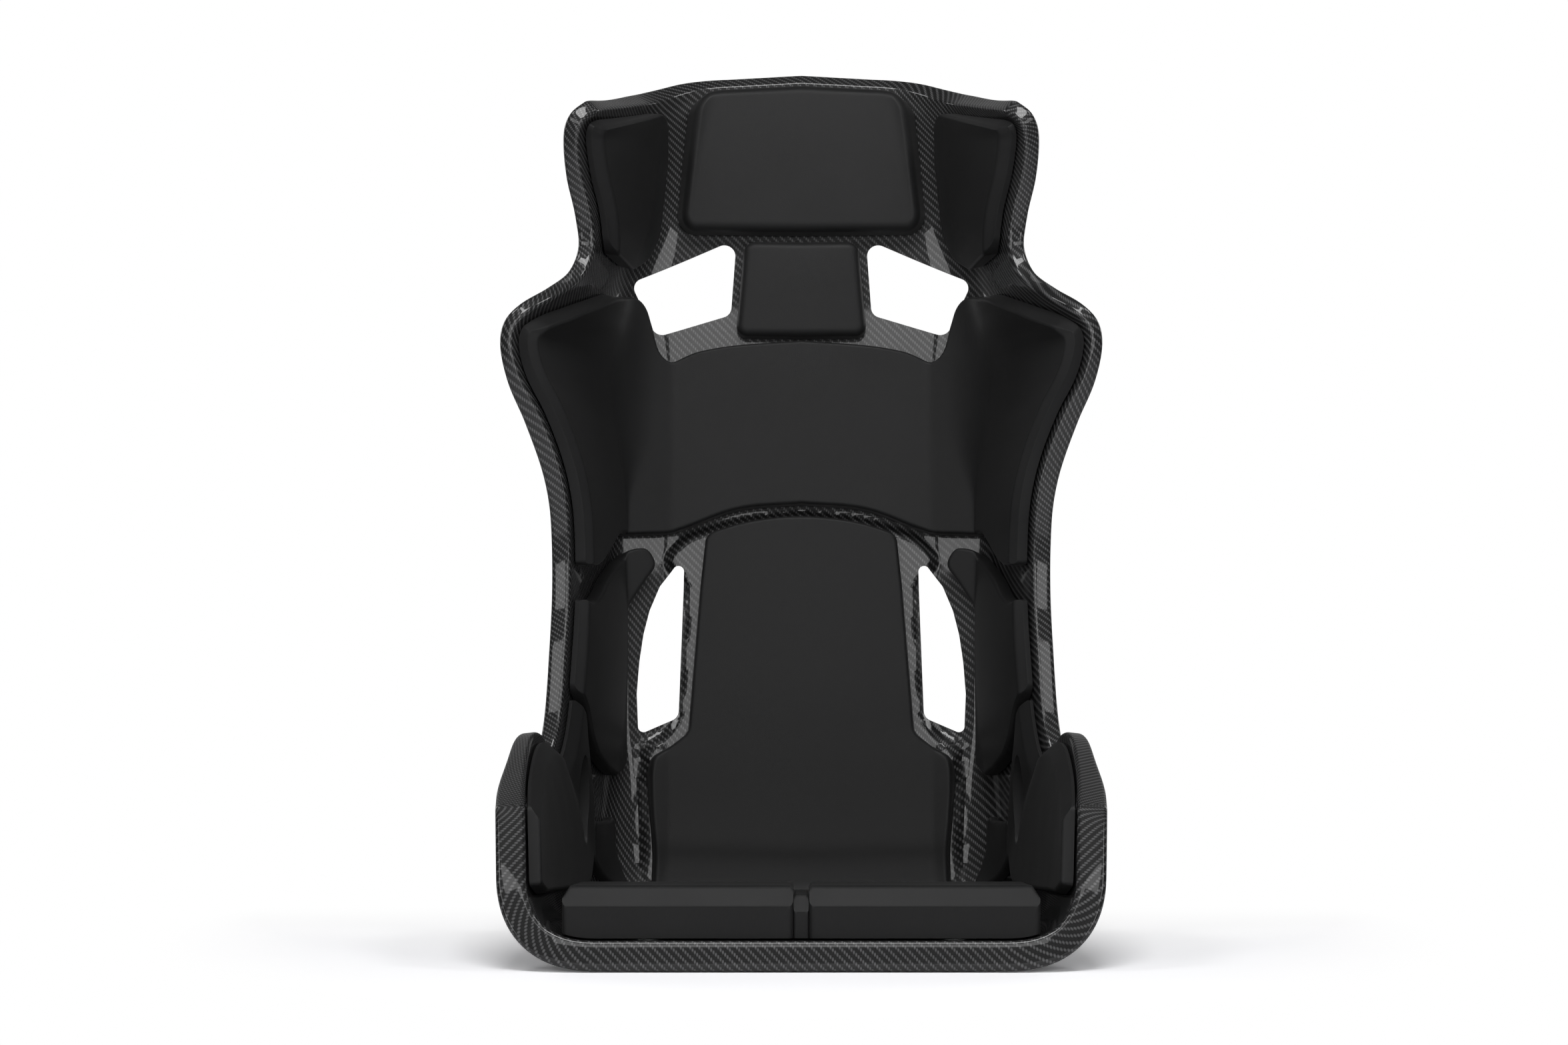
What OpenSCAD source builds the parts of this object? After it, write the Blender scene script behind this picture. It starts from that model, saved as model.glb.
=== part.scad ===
// High-backed bucket racing seat.
// A one-piece moulded carbon shell with a rolled rim carries foam pads, which hold to it
// by hook-and-loop patches. Four threaded inserts in the pan bolt the seat down.
// Millimetres. The seat faces -Y and +Z is up. The origin lies on the floor, in the middle
// of the seat's width and depth.
//
// Places on the shell's inner face are given on its unrolled surface:
//   a  the distance across the face from the middle line, round its bends
//   t  the distance along the middle line from the front lip, back and then up

/* [Heights] */
// Height of the front lip's inner edge above the floor
lip_z = 29; // [27:1:34]
// Clearance between the pan's lowest point and the floor
pan_clear = 0.2; // [0.2:0.1:4]
// Height of the hip wings
hip_z = 205; // [190:1:220]
// Height of the widest point of the shoulders
shoulder_z = 595; // [570:1:720]
// Rise from the widest point of the shoulders to the neck, where the rim is drawn in
neck_rise = 109; // [100:1:135]
// Rise from the neck to the top edge's inner line
head_rise = 189; // [175:1:230]

/* [Half widths of the opening] */
// Half width at the hip wings
hip_half = 263; // [240:1:316]
// Half width at the waist
waist_half = 234; // [215:1:240]
// Half width at the shoulders
shoulder_half = 291; // [270:1:320]
// Half width at the neck
neck_half = 213; // [200:1:220]
// Half width at the head wings
head_half = 228; // [222:1:240]

/* [Depths] */
// Length of the pan from the lip to the start of its rear bend
pan_len = 395; // [380:1:474]
// Depth of the rear bend, from the pan's end back to the pelvis wall
pelvis_depth = 78; // [66:1:94]
// Angle that the back leans at
recline = 9.7; // [7:0.1:12]
// Forward arch of the back at the waist
lumbar_arch = 7; // [0:0.5:12]
// Distance from the lip to the front edge of the waist's side walls
waist_y = 345; // [325:1:360]
// Distance from the lip to the front edge of the shoulder wings
shoulder_y = 327; // [310:1:345]
// Distance from the lip to the rim at the neck
neck_y = 412; // [395:1:425]
// Distance from the lip to the front edge of the head wings
head_y = 394; // [375:1:410]

/* [Laminate and rim] */
// Thickness of the laminate
wall = 4; // [3:0.1:4.8]
// Radius where the face turns over into the rim
rim_turn_r = 6; // [5.5:0.5:10]
// Radius of the rim's outer edge
rim_edge_r = 5; // [4.9:0.1:6]
// Width of the rim at the front of the hips
rim_w_front = 28; // [24:1:30]
// Width of the rim at the waist
rim_w_waist = 20; // [18:1:24]
// Width of the rim round the shoulders
rim_w_shoulder = 15; // [15:1:18]
// Width of the rim round the head
rim_w_head = 18; // [17:1:22]
// Depth of the lip that the rim's outer edge turns back
rim_return = 6; // [3:0.5:9]
// Slope of the rim along the top edge, from square to the face
top_rim_slope = 45; // [20:1:55]
// Height of the raised panel behind the lower back pad
panel_rise = 13; // [8:0.5:15]
// Width of the raised panel's sloping edge
panel_slope_w = 12; // [8:0.5:16]

/* [Pads] */
// Thickness of the head pad
head_pad_t = 26; // [20:1:32]
// Thickness of the head side pads
head_side_t = 18; // [14:1:22]
// Thickness of the neck pad
neck_pad_t = 22; // [16:1:26]
// Thickness of the shoulder pad
shoulder_pad_t = 20; // [16:1:24]
// Thickness of the lower back pad, above the raised panel
lower_pad_t = 14; // [10:1:20]
// Thickness of the rib pads
rib_pad_t = 16; // [12:1:20]
// Thickness of the hip pads
hip_pad_t = 14; // [10:1:18]
// Thickness of the rear hip pads
rear_hip_pad_t = 12; // [10:1:16]
// Height of the thigh pads at their front
thigh_pad_t = 49; // [40:1:54]
// Thickness of the seat pad behind them
seat_pad_t = 34; // [26:1:42]
// Width of the pads' chamfers, along the rim
pad_chamfer = 9; // [6:0.5:11]
// Width of the pads' other edges, which are barely broken
pad_edge = 4; // [3:0.5:6]
// Crown of the large pads
pad_crown = 2; // [0:0.5:4]
// Gap behind the pads, which the hook-and-loop patches fill
patch_gap = 2; // [1.6:0.1:3]
// Side of a hook-and-loop patch
patch_side = 40; // [30:1:50]

/* [Openings] */
// Half width of the lap belt hole
belt_half_w = 11; // [9:1:13]
// Half height of the lap belt hole
belt_half_h = 42; // [36:1:44]
// Half width of the crotch strap slot
crotch_half_w = 32; // [28:1:40]
// Length of the crotch strap slot
crotch_len = 26; // [20:1:30]

/* [Mounting] */
// Distance between the inserts across the seat
insert_dx = 290; // [260:1:320]
// Distance between the front and rear inserts
insert_dy = 260; // [240:1:275]
// Distance from the lip to the front inserts
insert_y = 80; // [60:1:95]
// Diameter of an insert's threaded bore
insert_bore_d = 8; // [6:0.5:10]
// Diameter of an insert's body
insert_d = 24; // [20:1:30]
// Side of the load plate over an insert
plate_side = 64; // [50:1:80]
// Thickness of the load plates
plate_t = 2.5; // [2:0.5:4]

/* [Hidden] */
left = -1;
right = 1;
// Lowest point of the pan's inner face
pan_z = wall + pan_clear;
pelvis_y = pan_len + pelvis_depth;
neck_z = shoulder_z + neck_rise;
top_z = neck_z + head_rise;
// The front rim's outer edge turns back this far above the floor
lip_clear = 1.1;
carbon = [0.16, 0.16, 0.17];
foam = [0.24, 0.24, 0.25];
alloy = [0.72, 0.73, 0.75];
tape = [0.08, 0.08, 0.09];

// Levels along the middle line
bend_t = pan_len + 110;              // end of the bend between the pan and the back
bend_z = 66;                         // its height
top_t = level(top_z);                // top edge
notch_t = pan_len + 45;              // notch between the hip wing and the waist
shoulder_t = level(shoulder_z - 51); // widest point of the shoulders
neck_t = level(neck_z - 27);
function level(z) = bend_t + (z - bend_z) / cos(recline);
function back_y(z) = pelvis_y + (z - bend_z) * tan(recline)
  - lumbar_arch * sin(180 * (z - bend_z) / (top_z - bend_z));

// Middle line: [t, y, z]
middle = [
  [0, 0, lip_z],
  [pan_len / 2, pan_len / 2, pan_z + (lip_z - pan_z) * 0.42],
  [pan_len, pan_len, pan_z],
  [pan_len + 55, (pan_len + pelvis_y) / 2 + 12, pan_z + 16],
  each [for (z = [bend_z, 250, 450, 650, top_z]) [level(z), back_y(z), z]]];

// Fold between the pan or back and the side wall: [t, x, y, z]
fold = [
  [0, hip_half - 9, 0, lip_z],
  [pan_len / 2, hip_half - 23, pan_len / 2 - 4, pan_z + 9],
  [pan_len - 15, hip_half - 41, pan_len - 23, pan_z + 2],
  [notch_t, hip_half - 49, pan_len + 30, 28],
  [bend_t, waist_half - 28, pelvis_y - 21, 82],
  [level(140), waist_half - 34, back_y(140) - 13, 160],
  [level(258), waist_half - 36, back_y(258) - 15, 272],
  [level(406), waist_half - 34, back_y(406) - 17, 420],
  [level(shoulder_z - 40), shoulder_half - 89, back_y(shoulder_z) - 28, shoulder_z - 30],
  [level(neck_z - 60), neck_half - 13, back_y(neck_z) - 31, neck_z - 54],
  [level(neck_z + 28), neck_half - 41, back_y(neck_z) - 16, neck_z + 31],
  [level(top_z - 70), head_half - 68, back_y(top_z) - 41, top_z - 77],
  [top_t, head_half - 70, back_y(top_z) - 38, top_z - 27]];

// Side rim's inner line: [t, x, y, z]
rim = [
  [0, hip_half - 4, 50, hip_z - 58],
  [120, hip_half, 118, hip_z - 31],
  [250, hip_half, 190, hip_z - 6],
  [pan_len - 65, hip_half - 3, 235, hip_z],
  [pan_len, hip_half - 8, 272, hip_z - 7],
  [notch_t, hip_half - 11, 296, hip_z - 25],
  [notch_t + 40, waist_half + 12, 310, hip_z - 12],
  [bend_t + 25, waist_half + 7, waist_y - 22, hip_z + 20],
  [level(160), waist_half + 3, waist_y - 9, 280],
  [level(248), waist_half, waist_y, 340],
  [level(shoulder_z - 277), waist_half, waist_y + 1, shoulder_z - 200],
  [shoulder_t - 170, waist_half + 3, waist_y - 2, shoulder_z - 155],
  [shoulder_t - 125, waist_half + 12, waist_y - 5, shoulder_z - 115],
  [shoulder_t - 75, shoulder_half - 27, shoulder_y + 8, shoulder_z - 68],
  [shoulder_t - 35, shoulder_half - 8, shoulder_y + 3, shoulder_z - 31],
  [shoulder_t, shoulder_half, shoulder_y, shoulder_z],
  [shoulder_t + 23, shoulder_half - 3, shoulder_y + 1, shoulder_z + 19],
  [shoulder_t + 45, shoulder_half - 17, shoulder_y + 7, shoulder_z + 33],
  [neck_t - 65, neck_half + 36, neck_y - 54, neck_z - 60],
  [neck_t - 35, neck_half + 12, neck_y - 17, neck_z - 38],
  [neck_t, neck_half, neck_y, neck_z - 6],
  [neck_t + 40, neck_half + 3, neck_y - 2, neck_z + 31],
  [top_t - 125, head_half - 3, head_y + 8, top_z - 118],
  [top_t - 70, head_half, head_y + 1, top_z - 81],
  [top_t - 35, head_half - 5, head_y - 1, top_z - 66],
  [top_t, head_half - 17, head_y + 8, top_z - 56]];

// Half width of the flat middle, and how far each fold is rounded to either side: [t, w, r]
flat_middle = [
  [0, 150, 62],
  [pan_len, 145, 52],
  [level(160), 140, 42],
  [shoulder_t, 139, 45],
  [neck_t, 135, 46],
  [top_t, 108, 30]];

// Width of the rim: [t, width]
rim_width = [
  [0, rim_w_front],
  [60, rim_w_front - 1],
  [200, rim_w_waist],
  [notch_t, rim_w_waist - 2],
  [level(200), rim_w_waist],
  [shoulder_t - 125, rim_w_waist],
  [shoulder_t - 75, rim_w_waist - 1],
  [shoulder_t - 20, rim_w_shoulder],
  [shoulder_t + 45, rim_w_shoulder],
  [neck_t, rim_w_head],
  [top_t, rim_w_head]];

function unit(v) = v / norm(v);
function lerp(a, b, s) = a + (b - a) * s;
function clamp01(s) = min(1, max(0, s));
function ease(s) = let (c = clamp01(s)) c * c * (3 - 2 * c);
function bezier(a, b, c, s) = (1 - s) ^ 2 * a + 2 * s * (1 - s) * b + s ^ 2 * c;
function mirrored(side, p) = [side * p[0], p[1], p[2]];

// Smooth curve through rows that start with their t
function row_below(rows, t, i = 0) =
  (i >= len(rows) - 2 || t < rows[i + 1][0]) ? i : row_below(rows, t, i + 1);
function row_slope(rows, k) =
  let (a = max(k - 1, 0), b = min(k + 1, len(rows) - 1))
  (rows[b] - rows[a]) / (rows[b][0] - rows[a][0]);
function curve(rows, t) =
  let (
    i = row_below(rows, t),
    h = rows[i + 1][0] - rows[i][0],
    s = (t - rows[i][0]) / h
  )
  (2 * s ^ 3 - 3 * s ^ 2 + 1) * rows[i]
  + (s ^ 3 - 2 * s ^ 2 + s) * h * row_slope(rows, i)
  + (3 * s ^ 2 - 2 * s ^ 3) * rows[i + 1]
  + (s ^ 3 - s ^ 2) * h * row_slope(rows, i + 1);

// Half of a section across the seat: seven points, from the middle to the rim. The
// points at either side of its two bends are where their roundings start and end.
function section(t) =
  let (
    m = curve(middle, t),
    k = curve(fold, t),
    r = curve(rim, t),
    w = curve(flat_middle, t),
    c = [0, m[1], m[2]],
    corner = [k[1], k[2], k[3]],
    edge = [r[1], r[2], r[3]],
    f = [w[1], m[1], m[2] + (k[3] - m[2]) * (w[1] / k[1]) ^ 4],
    e = min(25, 0.4 * norm(corner - f)),
    d = min(w[2], norm(corner - f) - e, 0.9 * norm(edge - corner))
  )
  [c, f + unit(c - f) * e, f, f + unit(corner - f) * e,
    corner + unit(f - corner) * d, corner, corner + unit(edge - corner) * d, edge];

// The section's pieces, in order: [start, control, end, length]; straight ones have no control
function bend_length(a, b, c) =
  norm(bezier(a, b, c, 0.25) - a) + norm(bezier(a, b, c, 0.5) - bezier(a, b, c, 0.25))
  + norm(bezier(a, b, c, 0.75) - bezier(a, b, c, 0.5)) + norm(c - bezier(a, b, c, 0.75));
function pieces(t) =
  let (s = section(t))
  [[s[0], undef, s[1], norm(s[1] - s[0])],
    [s[1], s[2], s[3], bend_length(s[1], s[2], s[3])],
    [s[3], undef, s[4], norm(s[4] - s[3])],
    [s[4], s[5], s[6], bend_length(s[4], s[5], s[6])],
    [s[6], undef, s[7], norm(s[7] - s[6])]];
function along(piece, s) =
  is_undef(piece[1]) ? lerp(piece[0], piece[2], s) : bezier(piece[0], piece[1], piece[2], s);
function walk(list, a, k = 0) =
  (k >= len(list) - 1 || a <= list[k][3])
    ? along(list[k], a / list[k][3])
    : walk(list, a - list[k][3], k + 1);
function girth(t) = let (p = pieces(t)) p[0][3] + p[1][3] + p[2][3] + p[3][3] + p[4][3];

// Point on the inner face, and the face's normal there, which points at the driver
function face(a, t) = mirrored(a < 0 ? left : right, walk(pieces(t), abs(a)));
function face_normal(a, t) =
  let (
    step = 3,
    x = max(abs(a), step),
    t0 = max(t - step, 0),
    t1 = min(t + step, top_t),
    share = x / girth(t),
    across = walk(pieces(t), x + step) - walk(pieces(t), x - step),
    up = walk(pieces(t1), share * girth(t1)) - walk(pieces(t0), share * girth(t0)),
    n = unit(cross(across, up))
  )
  mirrored(a < 0 ? left : right, abs(a) < step ? unit([0, n[1], n[2]]) : n);
function above(a, t, h) = face(a, t) + face_normal(a, t) * h;

// Half outline of the raised panel that the lower back pad sits on: [a, t]
panel_foot = bend_t - 75;
panel_top = shoulder_t - 118;
panel = [
  [0, panel_foot], [165, panel_foot], [174, bend_t + 35], [171, bend_t + 105],
  [134, bend_t + 137], [125, panel_top - 82], [152, panel_top - 60], [126, panel_top - 29],
  [64, panel_top - 9], [0, panel_top]];
function to_line(p, a, b) = norm(p - lerp(a, b, clamp01((p - a) * (b - a) / ((b - a) * (b - a)))));
function panel_edge(p) = min([for (i = [1:len(panel) - 2]) to_line(p, panel[i], panel[i + 1])]);
function in_panel(p) =
  len([for (i = [0:len(panel) - 2])
    let (a = panel[i], b = panel[i + 1])
    if ((a[1] <= p[1]) != (b[1] <= p[1])
      && p[0] < lerp(a[0], b[0], (p[1] - a[1]) / (b[1] - a[1]))) 1]) % 2 == 1;
function rise(a, t) =
  in_panel([abs(a), t])
    ? panel_rise * clamp01(panel_edge([abs(a), t]) / panel_slope_w) * ease((t - panel_foot) / 90)
    : 0;

// ---------------------------------------------------------------- shell
// Levels of the shell's rows, closer together where its rim turns
rows_t = [
  each [for (i = [0:1:6]) (pan_len - 125) * i / 6], pan_len - 85, pan_len - 50, pan_len - 20,
  each [notch_t - 35:17.5:notch_t + 52.5],
  each [bend_t + 20, bend_t + 60, bend_t + 105], each [notch_t + 200:40:shoulder_t - 150],
  each [for (i = [0:1:17]) lerp(shoulder_t - 125, neck_t + 40, i / 17)],
  each [for (i = [1:1:5]) lerp(neck_t + 40, top_t - 45, i / 5)],
  top_t - 28, top_t - 12, top_t];
// Shares of each piece of a section at which it has a point
piece_steps = [[0, 0.5], [0, 0.5], [0], [0, 0.25, 0.5, 0.75], [0, 0.5, 1]];

// One row of the inner face: [a, point] from the left rim to the right rim
function half_row(t) =
  let (p = pieces(t), start = [0, p[0][3], p[0][3] + p[1][3], p[0][3] + p[1][3] + p[2][3],
    p[0][3] + p[1][3] + p[2][3] + p[3][3]])
  [for (k = [0:4]) for (s = piece_steps[k])
    if (k + s > 0) [start[k] + s * p[k][3], along(p[k], s)]];
function full_row(t) =
  let (h = half_row(t), n = len(h))
  [for (i = [n - 1:-1:0]) [-h[i][0], mirrored(left, h[i][1])],
    [0, face(0, t)],
    each h];

shell_rows = [for (t = rows_t) full_row(t)];
nr = len(shell_rows) - 1;
nc = len(shell_rows[0]) - 1;
flat_face = [for (r = shell_rows) [for (c = r) c[1]]];
function grid_normal(g, i, j) =
  let (
    rows = len(g) - 1,
    cols = len(g[0]) - 1,
    // a corner of the sheet takes the normal of its inner neighbour
    at_corner = (i == 0 || i == rows) && (j == 0 || j == cols),
    r = at_corner ? (i == 0 ? 1 : rows - 1) : i,
    c = at_corner ? (j == 0 ? 1 : cols - 1) : j
  )
  unit(cross(
    g[r][min(c + 1, cols)] - g[r][max(c - 1, 0)],
    g[min(r + 1, rows)][c] - g[max(r - 1, 0)][c]));
face_grid = [for (i = [0:nr]) [for (j = [0:nc])
  flat_face[i][j] + grid_normal(flat_face, i, j) * rise(shell_rows[i][j][0], rows_t[i])]];
face_normals = [for (i = [0:nr]) [for (j = [0:nc]) grid_normal(face_grid, i, j)]];

// The sheet's edge, once round, as [row, column]
edge_loop = [
  for (j = [0:nc - 1]) [0, j],
  for (i = [0:nr - 1]) [i, nc],
  for (j = [nc:-1:1]) [nr, j],
  for (i = [nr:-1:1]) [i, 0]];
ne = len(edge_loop);
function edge_at(k) = let (e = edge_loop[(k + ne) % ne]) face_grid[e[0]][e[1]];
function edge_out(k) =
  let (e = edge_loop[k])
  unit(cross(edge_at(k + 1) - edge_at(k - 1), face_normals[e[0]][e[1]]));

// Rim's width and slope at an edge point
function rim_w(e) =
  let (p = face_grid[e[0]][e[1]])
  min(curve(rim_width, rows_t[e[0]])[1], e[0] == 0 ? p[2] - lip_clear : 100);
function rim_slope(e) =
  e[0] < nr ? 0 : top_rim_slope * ease((head_half - 20 - abs(face_grid[e[0]][e[1]][0])) / 60);

// Rim's profile: each ring is [direction out of the sheet, away from it, normal's turn]
function ring_point(k, ring, depth) =
  let (
    e = edge_loop[k],
    n = face_normals[e[0]][e[1]],
    b = edge_out(k),
    turn = 90 - rim_slope(e),
    angle = [0, turn / 2, turn, turn, turn + 45, turn + 90, turn + 90][ring],
    r1 = rim_turn_r,
    r2 = rim_edge_r,
    w = rim_w(e) - (1 - cos(turn)) * r1 - r2,
    first = edge_at(k) + b * sin(min(angle, turn)) * r1 - n * (1 - cos(min(angle, turn))) * r1,
    tangent = b * cos(turn) - n * sin(turn),
    normal = n * cos(turn) + b * sin(turn),
    outer = ring < 3 ? [0, 0, 0]
      : ring == 3 ? tangent * w
      : ring == 4 ? tangent * (w + r2 * sin(45)) - normal * r2 * (1 - cos(45))
      : ring == 5 ? tangent * (w + r2) - normal * r2
      : tangent * (w + r2) - normal * (r2 + rim_return),
    facing = n * cos(angle) + b * sin(angle)
  )
  first + outer - facing * depth;

// One side of the sheet: its grid, then its six rings
function sheet_side(depth) = [
  for (i = [0:nr]) for (j = [0:nc]) face_grid[i][j] - face_normals[i][j] * depth,
  for (ring = [1:6]) for (k = [0:ne - 1]) ring_point(k, ring, depth)];
side_n = (nr + 1) * (nc + 1) + 6 * ne;

// The origin lies in the middle of the rim's whole depth
rim_y = [for (ring = [2:6]) for (k = [0:ne - 1]) ring_point(k, ring, 0)[1]];
middle_y = (min(rim_y) + max(rim_y)) / 2;
function ring_index(ring, k) =
  let (q = (k + ne) % ne, e = edge_loop[q])
  ring == 0 ? e[0] * (nc + 1) + e[1] : (nr + 1) * (nc + 1) + (ring - 1) * ne + q;
side_faces = [
  for (i = [0:nr - 1]) for (j = [0:nc - 1])
    let (a = i * (nc + 1) + j, b = a + 1, c = a + nc + 1, d = c + 1)
    each j < nc / 2 ? [[a, d, b], [a, c, d]] : [[a, c, b], [b, c, d]],
  for (ring = [0:5]) for (k = [0:ne - 1])
    let (a = ring_index(ring, k), b = ring_index(ring, k + 1),
      c = ring_index(ring + 1, k), d = ring_index(ring + 1, k + 1))
    each [[a, b, c], [b, d, c]]];
rim_faces = [
  for (k = [0:ne - 1])
    let (a = ring_index(6, k), b = ring_index(6, k + 1))
    each [[a, b, a + side_n], [b, b + side_n, a + side_n]]];

module moulded_sheet() {
  polyhedron(
    points = concat(sheet_side(0), sheet_side(wall)),
    faces = concat(
      side_faces,
      [for (f = side_faces) [f[0] + side_n, f[2] + side_n, f[1] + side_n]],
      rim_faces),
    convexity = 12);
}

// Corners of the openings as seen from the front, [x, z], each with its radius
harness_slot = [[83, neck_z - 1, 12], [86, neck_z - 57, 11], [149, neck_z - 75, 12],
  [168, neck_z - 37, 11]];
vent = [[130, shoulder_z - 231, 6], [152, shoulder_z - 273, 8], [163, bend_z + 202, 8],
  [166, bend_z + 135, 6], [141, bend_z + 152, 12]];
belt_hole_at = [pan_len - 47, 134];
belt_grow = 3.5;    // the hip pad's hole is larger than the shell's by this all round
crotch_slot_y = pan_len - 176;

// Opening cut straight back through the shell, starting this far in front of the pelvis wall
cut_lead = 73;
module cut_back(side, corners) {
  hull()
    for (c = corners)
      translate([side * c[0], pelvis_y - cut_lead, c[1]])
        rotate([-90, 0, 0])
          cylinder(r = c[2], h = 300, $fn = 24);
}

// Lap belt hole, an upright oval cut straight out through the side wall
module cut_belt_hole(side, grow = 0) {
  translate([side * (hip_half - 113), belt_hole_at[0], belt_hole_at[1]])
    rotate([0, side * 90, 0])
      linear_extrude(150)
        polygon([for (i = [0:29])
          [(belt_half_h + grow) * cos(i * 12), (belt_half_w + grow) * sin(i * 12)]]);
}

// Crotch strap slot, cut straight down through the pan
module cut_crotch_slot() {
  hull()
    for (side = [left, right])
      translate([side * (crotch_half_w - crotch_len / 2), crotch_slot_y, -20])
        cylinder(d = crotch_len, h = 60, $fn = 24);
}

// Shallow seat in the laminate for the foot of each insert
module cut_insert_seat(side, y) {
  hull()
    for (dx = [-0.5, 0.5])
      translate([side * insert_dx / 2 + dx, y, -20])
        cylinder(d = insert_d, h = 70, $fn = 32);
}

module in_place() {
  translate([0, -middle_y, 0]) children();
}

module shell() {
  color(carbon)
    in_place()
      difference() {
        moulded_sheet();
        for (side = [left, right]) {
          cut_back(side, harness_slot);
          cut_back(side, vent);
          cut_belt_hole(side);
          cut_insert_seat(side, insert_y);
          cut_insert_seat(side, insert_y + insert_dy);
        }
        cut_crotch_slot();
      }
}

// ---------------------------------------------------------------- pads
// A pad is a patch of the face. Its outline is a function of two shares, p across and q
// along, that gives [a, t]. Its edges are bevelled, its corners rounded and its top crowned.
function cosine_share(i, n) = (1 - cos(180 * i / n)) / 2;
function corner_inset(d, r) = d < r ? r - sqrt(max(0, r ^ 2 - (r - d) ^ 2)) : 0;
function spread(outline, p, q, r) =
  let (
    w = norm(outline(1, q) - outline(0, q)),
    h = norm(outline(p, 1) - outline(p, 0)),
    inset = corner_inset(min(p, 1 - p) * w, r) / h
  )
  outline(p, lerp(inset, 1 - inset, q));
// A pad's bevels are the widths of its edges at p = 0, p = 1, q = 0 and q = 1
function even_bevels(w) = [w, w, w, w];
function rim_bevels(side, w) =
  side > 0 ? [pad_edge, w, pad_edge, pad_edge] : [w, pad_edge, pad_edge, pad_edge];
function bevel_loss(outline, p, q, bevels, deepest) =
  let (
    w = norm(outline(1, q) - outline(0, q)),
    h = norm(outline(p, 1) - outline(p, 0)),
    reach = [p * w, (1 - p) * w, q * h, (1 - q) * h]
  )
  max([for (i = [0:3]) min(bevels[i], deepest) * (1 - clamp01(reach[i] / bevels[i]))]);
function slab_faces(n, m) =
  let (
    top = [for (i = [0:n - 1]) for (j = [0:m - 1])
      let (a = i * (m + 1) + j, b = a + 1, c = a + m + 1, d = c + 1)
      each [[a, b, c], [b, d, c]]],
    count = (n + 1) * (m + 1),
    loop = [for (j = [0:m - 1]) j, for (i = [0:n - 1]) i * (m + 1) + m,
      for (j = [m:-1:1]) n * (m + 1) + j, for (i = [n:-1:1]) i * (m + 1)]
  )
  concat(
    top,
    [for (f = top) [f[0] + count, f[2] + count, f[1] + count]],
    [for (k = [0:len(loop) - 1])
      let (a = loop[k], b = loop[(k + 1) % len(loop)])
      each [[a, a + count, b], [b, a + count, b + count]]]);

module pad(outline, thick, n, m, corner_r, bevels = even_bevels(pad_edge), crown = pad_crown) {
  deepest = thick - patch_gap - 3;
  tops = [for (i = [0:n]) for (j = [0:m])
    let (
      p = cosine_share(i, n),
      q = cosine_share(j, m),
      at = spread(outline, p, q, corner_r),
      lost = bevel_loss(outline, p, q, bevels, deepest)
    )
    above(at[0], at[1], rise(at[0], at[1]) + thick - lost + crown * 16 * p * (1 - p) * q * (1 - q))];
  bases = [for (i = [0:n]) for (j = [0:m])
    let (at = spread(outline, cosine_share(i, n), cosine_share(j, m), corner_r))
    above(at[0], at[1], rise(at[0], at[1]) + patch_gap)];
  color(foam)
    in_place()
      polyhedron(points = concat(tops, bases), faces = slab_faces(n, m), convexity = 6);
}

// Outlines. A band lies between two edge curves, which are rows of [t, a].
function to_rim(gap, t) = girth(t) - gap;
function taper(p, q, from, to, wide_from, wide_to) =
  [(2 * p - 1) * lerp(wide_from, wide_to, q), lerp(from, to, q)];

// Head pad: its lower and upper edges are these far below the shell's top edge
head_pad_low = 171;
head_pad_high = 8;
module head_pad() {
  pad(function(p, q) taper(p, q, top_t - head_pad_low, top_t - head_pad_high, 136, 124),
    head_pad_t, 14, 10, corner_r = 24, bevels = even_bevels(pad_chamfer));
}

// Neck pad
module neck_pad() {
  pad(function(p, q) taper(p, q, level(neck_z - 92), level(neck_z + 10), 70, 61),
    neck_pad_t, 8, 8, corner_r = 12, bevels = even_bevels(pad_chamfer));
}

// Head side pads: on the head wings, from the fold out to the rim
head_side_in = [[neck_t + 3, 215], [neck_t + 22, 174], [neck_t + 40, 164], [top_t - 90, 162],
  [top_t - 40, 168], [top_t - 12, 182]];
module head_side_pad(side) {
  pad(
    function(p, q)
      let (
        s = side > 0 ? p : 1 - p,
        t = lerp(neck_t + 3, top_t - lerp(12, 20, s), q),
        a = lookup(t, head_side_in)
      )
      [side * lerp(a, to_rim(lerp(24, 7, q), t), s), t],
    head_side_t, 10, 10, corner_r = 18, bevels = rim_bevels(side, pad_chamfer + 3));
}

// Shoulder pad: from wing to wing. Its lower and upper edges are [share of the way to the
// rim, distance from shoulder_t].
shoulder_low = [[0, -112], [0.18, -120], [0.36, -145], [0.5, -156], [0.66, -170], [0.9, -236],
  [1, -253]];
shoulder_high = [[0, 64], [0.18, 58], [0.27, 51], [0.361, 39], [0.446, 75], [0.526, 99],
  [0.6, 106], [0.78, 99], [0.9, 79], [0.97, 56], [1, 31]];
module shoulder_pad() {
  pad(
    function(p, q)
      let (
        u = 2 * p - 1,
        low = curve(shoulder_low, abs(u))[1],
        high = curve(shoulder_high, abs(u))[1],
        t = shoulder_t + lerp(low, high, q)
      )
      [u * to_rim(8, t), t],
    shoulder_pad_t, 34, 12, corner_r = 6, bevels = [pad_chamfer, pad_chamfer, pad_edge, pad_edge]);
}

// Lower back pad, on the raised panel
lower_foot = bend_t - 59;
lower_top = shoulder_t - 127;
lower_edge = [[lower_foot, 157], [bend_t + 35, 165], [bend_t + 73, 167], [bend_t + 95, 163],
  [bend_t + 123, 119], [lower_top - 83, 107], [lower_top - 25, 101]];
module lower_back_pad() {
  pad(
    function(p, q)
      let (u = 2 * p - 1, t = lerp(lower_foot, lower_top - 22 * u ^ 2, q))
      [u * lookup(t, lower_edge), t],
    lower_pad_t, 12, 14, corner_r = 7);
}

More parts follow.
